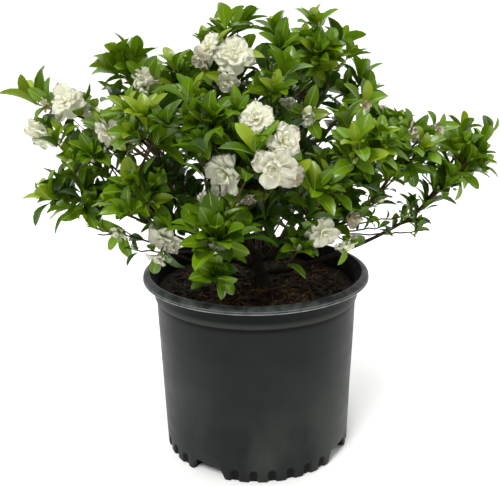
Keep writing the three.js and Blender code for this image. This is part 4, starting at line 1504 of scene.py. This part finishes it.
def leaves_down_the_twig(wood, shoot, settings, chance):
    """Older leaves, singly, down the last stretch of the twig."""
    here, walked, turn = shoot.end, 0.0, chance.uniform(0, math.tau)
    far = 16 if 0 < shoot.leaves < 6 else 46 if shoot.light > OPEN_LIGHT else 60
    next_leaf = 11.0
    while wood.root[here] > 0 and walked < far:
        before = wood.root[here]
        walked += float(np.linalg.norm(wood.at[here] - wood.at[before]))
        if walked > next_leaf:
            next_leaf = walked + chance.uniform(4, 9)
            turn += GOLDEN
            outward = outward_from(wood.flow[here], turn)
            if outward[2] > -0.75 and chance.random() < 0.8:
                along, face = leaning(wood.flow[here], outward, math.radians(chance.uniform(48, 84)))
                large = settings.length * shoot.size * chance.uniform(0.75, 1.0)
                yield wood.at[before], along + UP * 0.2, face + UP * 0.8, large, 0.0, 0.0
        here = before


class AZALEA_OT_leaves(Operator):
    """Deal out the leaves in whorls at the tips of the shoots, and singly down the twigs"""

    bl_idname = "azalea.leaves"
    bl_label = "Deal out the Leaves"

    def execute(self, context):
        settings = context.scene.azalea_leaves
        wood, shoots = grown_shrub()
        kinds = random.Random(5)
        shapes = [leaf_shape(kinds, settings.width * kinds.uniform(0.9, 1.12)) for _ in range(LEAF_KINDS)]
        shapes = kit("leaf_kit", shapes, METRE)
        chance = random.Random(91)
        hearts, widths = hearts_of([shoot for shoot in shoots if shoot.bloom])
        low, high = (np.array(corner) / MM for corner in CAD_BOX)
        deals = {"young": Deal(), "mature": Deal(), "deep": Deal()}
        for shoot in shoots:
            grown = [*whorl(shoot, settings, chance), *leaves_down_the_twig(wood, shoot, settings, chance)]
            for base, along, face, large, youth, spray in grown:
                along = unit(along)
                middle = base + along * large / MM * 0.6
                tip = base + along * large / MM
                in_a_bloom = (np.linalg.norm(hearts - middle, axis=1) < widths * 0.46).any()
                if in_a_bloom or in_a_window(middle, chance):
                    continue
                past_the_box = (tip < low - PAST_LOW).any() or (tip > high + PAST_HIGH).any()
                if past_the_box or min(tip[2], middle[2]) < MIX_TOP + OFF_THE_MIX:
                    continue
                # Painted light and shade: a leaf's green is picked by how much sky its shoot sees and how
                # high it stands, besides its youth, so leaves in the crown's shade take the darker copies.
                height = (base[2] - MIX_TOP) / (high[2] - MIX_TOP)
                bright = 0.5 * shoot.light + 0.2 * height + 0.24 * youth + spray + chance.gauss(0, 0.09)
                sort = "young" if bright > YOUNG_FROM else "mature" if bright > MATURE_FROM else "deep"
                tint = min(1, max(0, 0.5 + spray * 1.6 + chance.gauss(0, 0.16)))
                deals[sort].give(base, along, face, large, chance.randrange(LEAF_KINDS), tint)
        looks = {
            "young": (settings.young_lit_colour, settings.rib_colour, 0.28),
            "mature": (settings.mature_colour, settings.rib_colour, 0.24),
            "deep": (settings.deep_shaded_colour, settings.deep_shaded_rib_colour, 0.3),
        }
        for sort, (colour, rib_colour, gloss) in looks.items():
            blade, rib = leaf_blade(f"{sort}_leaf", colour, gloss), leaf_midrib(f"{sort}_midrib", rib_colour)
            leaves = deals[sort].piece(f"leaves_{sort}", shapes, blade, rib)
            placed(leaves, "foliage")
            if sort == "mature":
                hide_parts(*MASSES)
        clear_kit(shapes)
        return {"FINISHED"}


def petal_shape(chance, width, cup, lean_in, lean_out, ruffle):
    """One petal a metre long: spoon-shaped, cupped, bent outwards along its length, ruffled and scalloped."""
    rows, columns = 8, 13
    points, along_petal, phase = [], [], chance.uniform(0, math.tau)
    reach = lift = 0.0
    waves = chance.choice((1.6, 2.1, 2.6))
    for row in range(rows):
        along = row / (rows - 1)
        lean = mixed(lean_in, lean_out, along)
        if row:
            reach += math.cos(lean) / (rows - 1)
            lift += math.sin(lean) / (rows - 1)
        claw = mixed(0.22, 1.0, min(1, along / 0.62) ** 0.9)
        tip = math.sqrt(max(0, 1 - max(0, (along - 0.62) / 0.385) ** 2.8))
        half = width / 2 * claw * tip
        for column in range(columns):
            across_it = column / (columns - 1) * 2 - 1
            loose = 0.4 + 0.6 * abs(across_it)
            wave = math.sin(across_it * math.pi * waves + phase) * ruffle * along**1.6 * loose
            frill = math.sin(across_it * math.pi * 3.4 + 2 * phase) * ruffle * 0.5 * along**4
            crease = math.sin(along * 9 + across_it * 4 + phase) * ruffle * 0.25 * along
            scallop = math.sin(across_it * math.pi * 3.1 + 3 * phase) * 0.035 * along**5
            points.append(
                (
                    half * across_it,
                    reach + scallop - 0.05 * across_it**2 * along,
                    lift + cup * across_it**2 * half + wave + frill + crease,
                )
            )
            along_petal.append(along)
    return points, grid_faces(rows, columns), {"along": along_petal}


def petal_kit():
    """Petal shapes in three sorts of four: outer, middle and heart of a bloom, then limp ones."""
    chance = random.Random(17)
    shapes = []
    for width, cup, lean_in, lean_out, ruffle in (
        (0.92, 0.20, 0.30, -0.35, 0.13),
        (0.9, 0.30, 0.25, -0.20, 0.15),
        (0.86, 0.60, 0.15, 0.25, 0.20),
        (0.62, 0.55, 0.20, -0.80, 0.09),
    ):
        for _ in range(4):
            shapes.append(
                petal_shape(
                    chance,
                    width * chance.uniform(0.85, 1.12),
                    cup * chance.uniform(0.6, 1.3),
                    lean_in * chance.uniform(0.7, 1.3),
                    lean_out + chance.uniform(-0.25, 0.25),
                    ruffle * chance.uniform(0.7, 1.4),
                )
            )
    return kit("petal_kit", shapes, METRE)


def petals_of(bloom, chance):
    """The petals of one double bloom, in tiers from the outermost in: place, lie, size, kind and tier."""
    width, age = bloom.bloom
    limp = age == 2
    start = chance.uniform(0, math.tau)
    # How many petals a tier has, how far it leans from the axis, its petals' length and how deep it sits.
    tiers = ((6, 82, 0.48, 0.12), (6, 66, 0.42, 0.07), (4, 46, 0.28, 0.03), (3, 16, 0.2, 0.0))
    if width < 30:
        tiers = ((6, 62, 0.5, 0.12), (5, 42, 0.4, 0.06), (3, 20, 0.26, 0.0))
    for tier, (count, lean, long, deep) in enumerate(tiers):
        sort = 3 if limp else min(2, tier // 2)
        for number in range(count):
            turn = start + tier * 0.9 + math.tau * number / count + chance.gauss(0, 0.22)
            tipped = math.radians(lean * (0.72 if limp else 1)) + chance.gauss(0, 0.2)
            outward = outward_from(bloom.axis, turn)
            along, face = leaning(bloom.axis, outward, tipped)
            if limp:
                along = along - UP * 0.35
            base = bloom.at + bloom.axis * width * (0.16 - deep) + outward * width * 0.03
            large = width * long * chance.uniform(0.86, 1.12) * (0.9 if limp else 1)
            yield base, along, face, large, sort * 4 + chance.randrange(4), tier


def spindle(length, width, sides=8, rings=7):
    """A bud: a pointed spindle twisted like a furled umbrella."""
    points, along_bud = [], []
    for ring in range(rings):
        along = ring / (rings - 1)
        girth = width / 2 * max(0.03, math.sin(math.pi * along**0.8) ** 0.8)
        for corner in range(sides):
            turn = math.tau * corner / sides + along * 1.4
            ridge = 1 + 0.14 * math.cos(turn * 3)
            points.append((girth * ridge * math.cos(turn), along * length, girth * ridge * math.sin(turn)))
            along_bud.append(along)
    faces = [tuple(reversed(face)) for face in grid_faces(rings, sides, closed=True)]
    faces += [tuple(range(sides)), tuple(reversed(range((rings - 1) * sides, rings * sides)))]
    return points, faces, {"along": along_bud}


class AZALEA_OT_blossom(Operator):
    """Open the double blooms petal by petal, with buds beside them"""

    bl_idname = "azalea.blossom"
    bl_label = "Open the Blossom"

    def execute(self, context):
        settings = context.scene.azalea_blossom
        _, shoots = grown_shrub()
        chance = random.Random(33)
        shapes = petal_kit()
        buds_kit = kit("bud_kit", [spindle(1.0, width) for width in (0.42, 0.5, 0.62)], METRE)
        fresh, faded, wilted, buds, cups = Deal(), Deal(), Deal(), Deal(), Deal()
        for shoot in shoots:
            side, other = across(shoot.axis)
            if not shoot.bloom:
                if shoot.light > 0.6 and chance.random() < 0.14:
                    for _ in range(chance.choice((1, 1, 2, 3))):
                        along = shoot.axis + (side * chance.gauss(0, 0.3) + other * chance.gauss(0, 0.3))
                        buds.give(shoot.at, along, side, chance.uniform(7, 13) * MM, chance.randrange(3), 0.5)
                continue
            width, age = shoot.bloom
            # The greyed blooms (age 0.5) get a low tint: painted shade.
            tint = 0.5 if age == 0.5 else chance.uniform(0.75, 1.0)
            cups.give(shoot.at - shoot.axis * width * 0.12, shoot.axis, side, width * 0.22 * MM, 2, 0.5)
            for base, along, face, large, kind, tier in petals_of(shoot, chance):
                brown = chance.random() < (0.0, 0.06, 0.5)[int(age)]
                deal = wilted if brown else faded if age >= 1 else fresh
                deal.give(base, along, face, large * MM, kind, min(1, tint + 0.1 * tier))
            if chance.random() < 0.4:
                out = outward_from(shoot.axis, chance.uniform(0, math.tau))
                at, along = shoot.at + out * 3, shoot.axis * 0.6 + out * 0.9
                buds.give(at, along, UP, chance.uniform(13, 20) * MM, chance.randrange(3), 0.5)
        throat, margin = settings.throat_colour, settings.shade_colour
        worn, brown, scale = settings.faded_colour, settings.brown_colour, settings.scale_colour
        pieces = (
            (fresh, "petals_fresh", shapes, petal_sheet("fresh_petal", settings.colour, throat, margin)),
            (faded, "petals_faded", shapes, petal_sheet("faded_petal", worn, throat, margin)),
            (wilted, "petals_wilted", shapes, petal_sheet("wilted_petal", brown, worn, brown)),
            (buds, "flower_buds", buds_kit, bud_scale("flower_bud", scale, settings.bud_colour)),
            (cups, "bloom_cups", buds_kit, bud_scale("bloom_cup", scale, scale)),
        )
        for deal, name, shapes_of_it, material in pieces:
            placed(deal.piece(name, shapes_of_it, material), "foliage")
        clear_kit(shapes)
        clear_kit(buds_kit)
        return {"FINISHED"}


# ---------------------------------------------------------------- the studio

FLOOR = 9000  # millimetres from the middle of the floor to its edges
CAMERA_ROLL = math.radians(-0.72)
CAMERA_ASIDE = -0.0067  # metres from the can's axis to the camera's line of sight


class AZALEA_OT_stage(Operator):
    """Lay the pale floor, hang the soft lights and set the camera"""

    bl_idname = "azalea.stage"
    bl_label = "Set the Stage"

    def execute(self, context):
        scene, settings = context.scene, context.scene.azalea_studio
        corners = [(-FLOOR, -FLOOR, 0), (FLOOR, -FLOOR, 0), (FLOOR, FLOOR, 0), (-FLOOR, FLOOR, 0)]
        floor = mesh_object("studio_floor", corners, [(0, 1, 2, 3)])
        paper, tree, surface = new_material("matte_paper", Roughness=0.9)
        tone = settings.floor_colour
        base = add(tree, RAMP, patches(tree, 0.4, 2), stops=[(0.3, [c * 0.985 for c in tone]), (0.7, tone)])
        wire(tree, surface, {"Base Color": base})
        floor.data.materials.append(paper)

        # Each lamp has its kind, place, breadth and power, and looks a little under the shrub's middle.
        middle = (sum(np.array(corner) for corner in CAD_BOX) / 2) * (1, 1, 0.9)
        lamps = (
            ("key_light", "SUN", (-0.3, -0.58, 1.15), "angle", settings.key_angle, settings.key),
            ("fill_softbox", "AREA", (1.5, -1.0, 0.9), "size", 1.2, settings.fill_power),
            ("top_softbox", "AREA", (0.2, 0.5, 2.0), "size", 1.5, settings.top_power),
        )
        for name, kind, place, breadth, wide, power in lamps:
            light = bpy.data.lights.new(name, kind)
            light.energy = power
            setattr(light, breadth, wide)
            lamp = bpy.data.objects.new(name, light)
            scene.collection.objects.link(lamp)
            lamp.location = place
            lamp.rotation_euler = (Vector(middle) - Vector(place)).to_track_quat("-Z", "Y").to_euler()

        world = scene.world or bpy.data.worlds.new("studio")
        scene.world = world
        world.use_nodes = True
        ways = world.node_tree
        way = add(ways, SPLIT, add(ways, COORDINATES))
        glow = add(ways, RANGE, way.outputs["Y"], -0.5, 0.2, settings.dusk, settings.sky)
        wire(ways, ways.nodes["Background"], {"Color": (1, 1, 1), "Strength": glow})

        camera = bpy.data.objects.new("camera", bpy.data.cameras.new("camera"))
        scene.collection.objects.link(camera)
        camera.data.lens = settings.lens
        camera.data.clip_start = 0.01
        roll = Matrix.Rotation(CAMERA_ROLL, 4, "Z")
        aim = Matrix.Rotation(math.pi / 2 - settings.tilt, 4, "X")
        place = Matrix.Translation((CAMERA_ASIDE, -settings.distance, settings.height))
        camera.matrix_world = place @ aim @ roll
        scene.camera = camera
        scene.view_settings.view_transform = "Standard"
        return {"FINISHED"}


class AZALEA_PT_shrub(Panel):
    """The azalea's settings and steps"""

    bl_idname = "AZALEA_PT_shrub"
    bl_label = "Azalea in its Can"
    bl_space_type = "VIEW_3D"
    bl_region_type = "UI"
    bl_category = "Azalea"

    def draw(self, context):
        for group, steps in STEPS.items():
            settings = getattr(context.scene, group)
            box = self.layout.box()
            for name in settings.__annotations__:
                box.prop(settings, name)
            for step in steps:
                box.operator(step.bl_idname)


STEPS = {
    "azalea_can": [AZALEA_OT_can],
    "azalea_mix": [AZALEA_OT_mix],
    "azalea_wood": [AZALEA_OT_boughs, AZALEA_OT_twigs],
    "azalea_leaves": [AZALEA_OT_leaves],
    "azalea_blossom": [AZALEA_OT_blossom],
    "azalea_studio": [AZALEA_OT_stage],
}
GROUPS = {
    "azalea_can": AzaleaCan,
    "azalea_mix": AzaleaMix,
    "azalea_wood": AzaleaWood,
    "azalea_leaves": AzaleaLeaves,
    "azalea_blossom": AzaleaBlossom,
    "azalea_studio": AzaleaStudio,
}
CLASSES = [*GROUPS.values(), *(step for steps in STEPS.values() for step in steps), AZALEA_PT_shrub]


def register():
    for kind in CLASSES:
        bpy.utils.register_class(kind)
    for name, group in GROUPS.items():
        setattr(bpy.types.Scene, name, PointerProperty(type=group))


def unregister():
    for name in GROUPS:
        delattr(bpy.types.Scene, name)
    for kind in reversed(CLASSES):
        bpy.utils.unregister_class(kind)


def main():
    register()
    for step in ("stage", "can", "mix", "boughs", "twigs", "leaves", "blossom"):
        getattr(bpy.ops.azalea, step)()


if __name__ == "__main__":
    main()
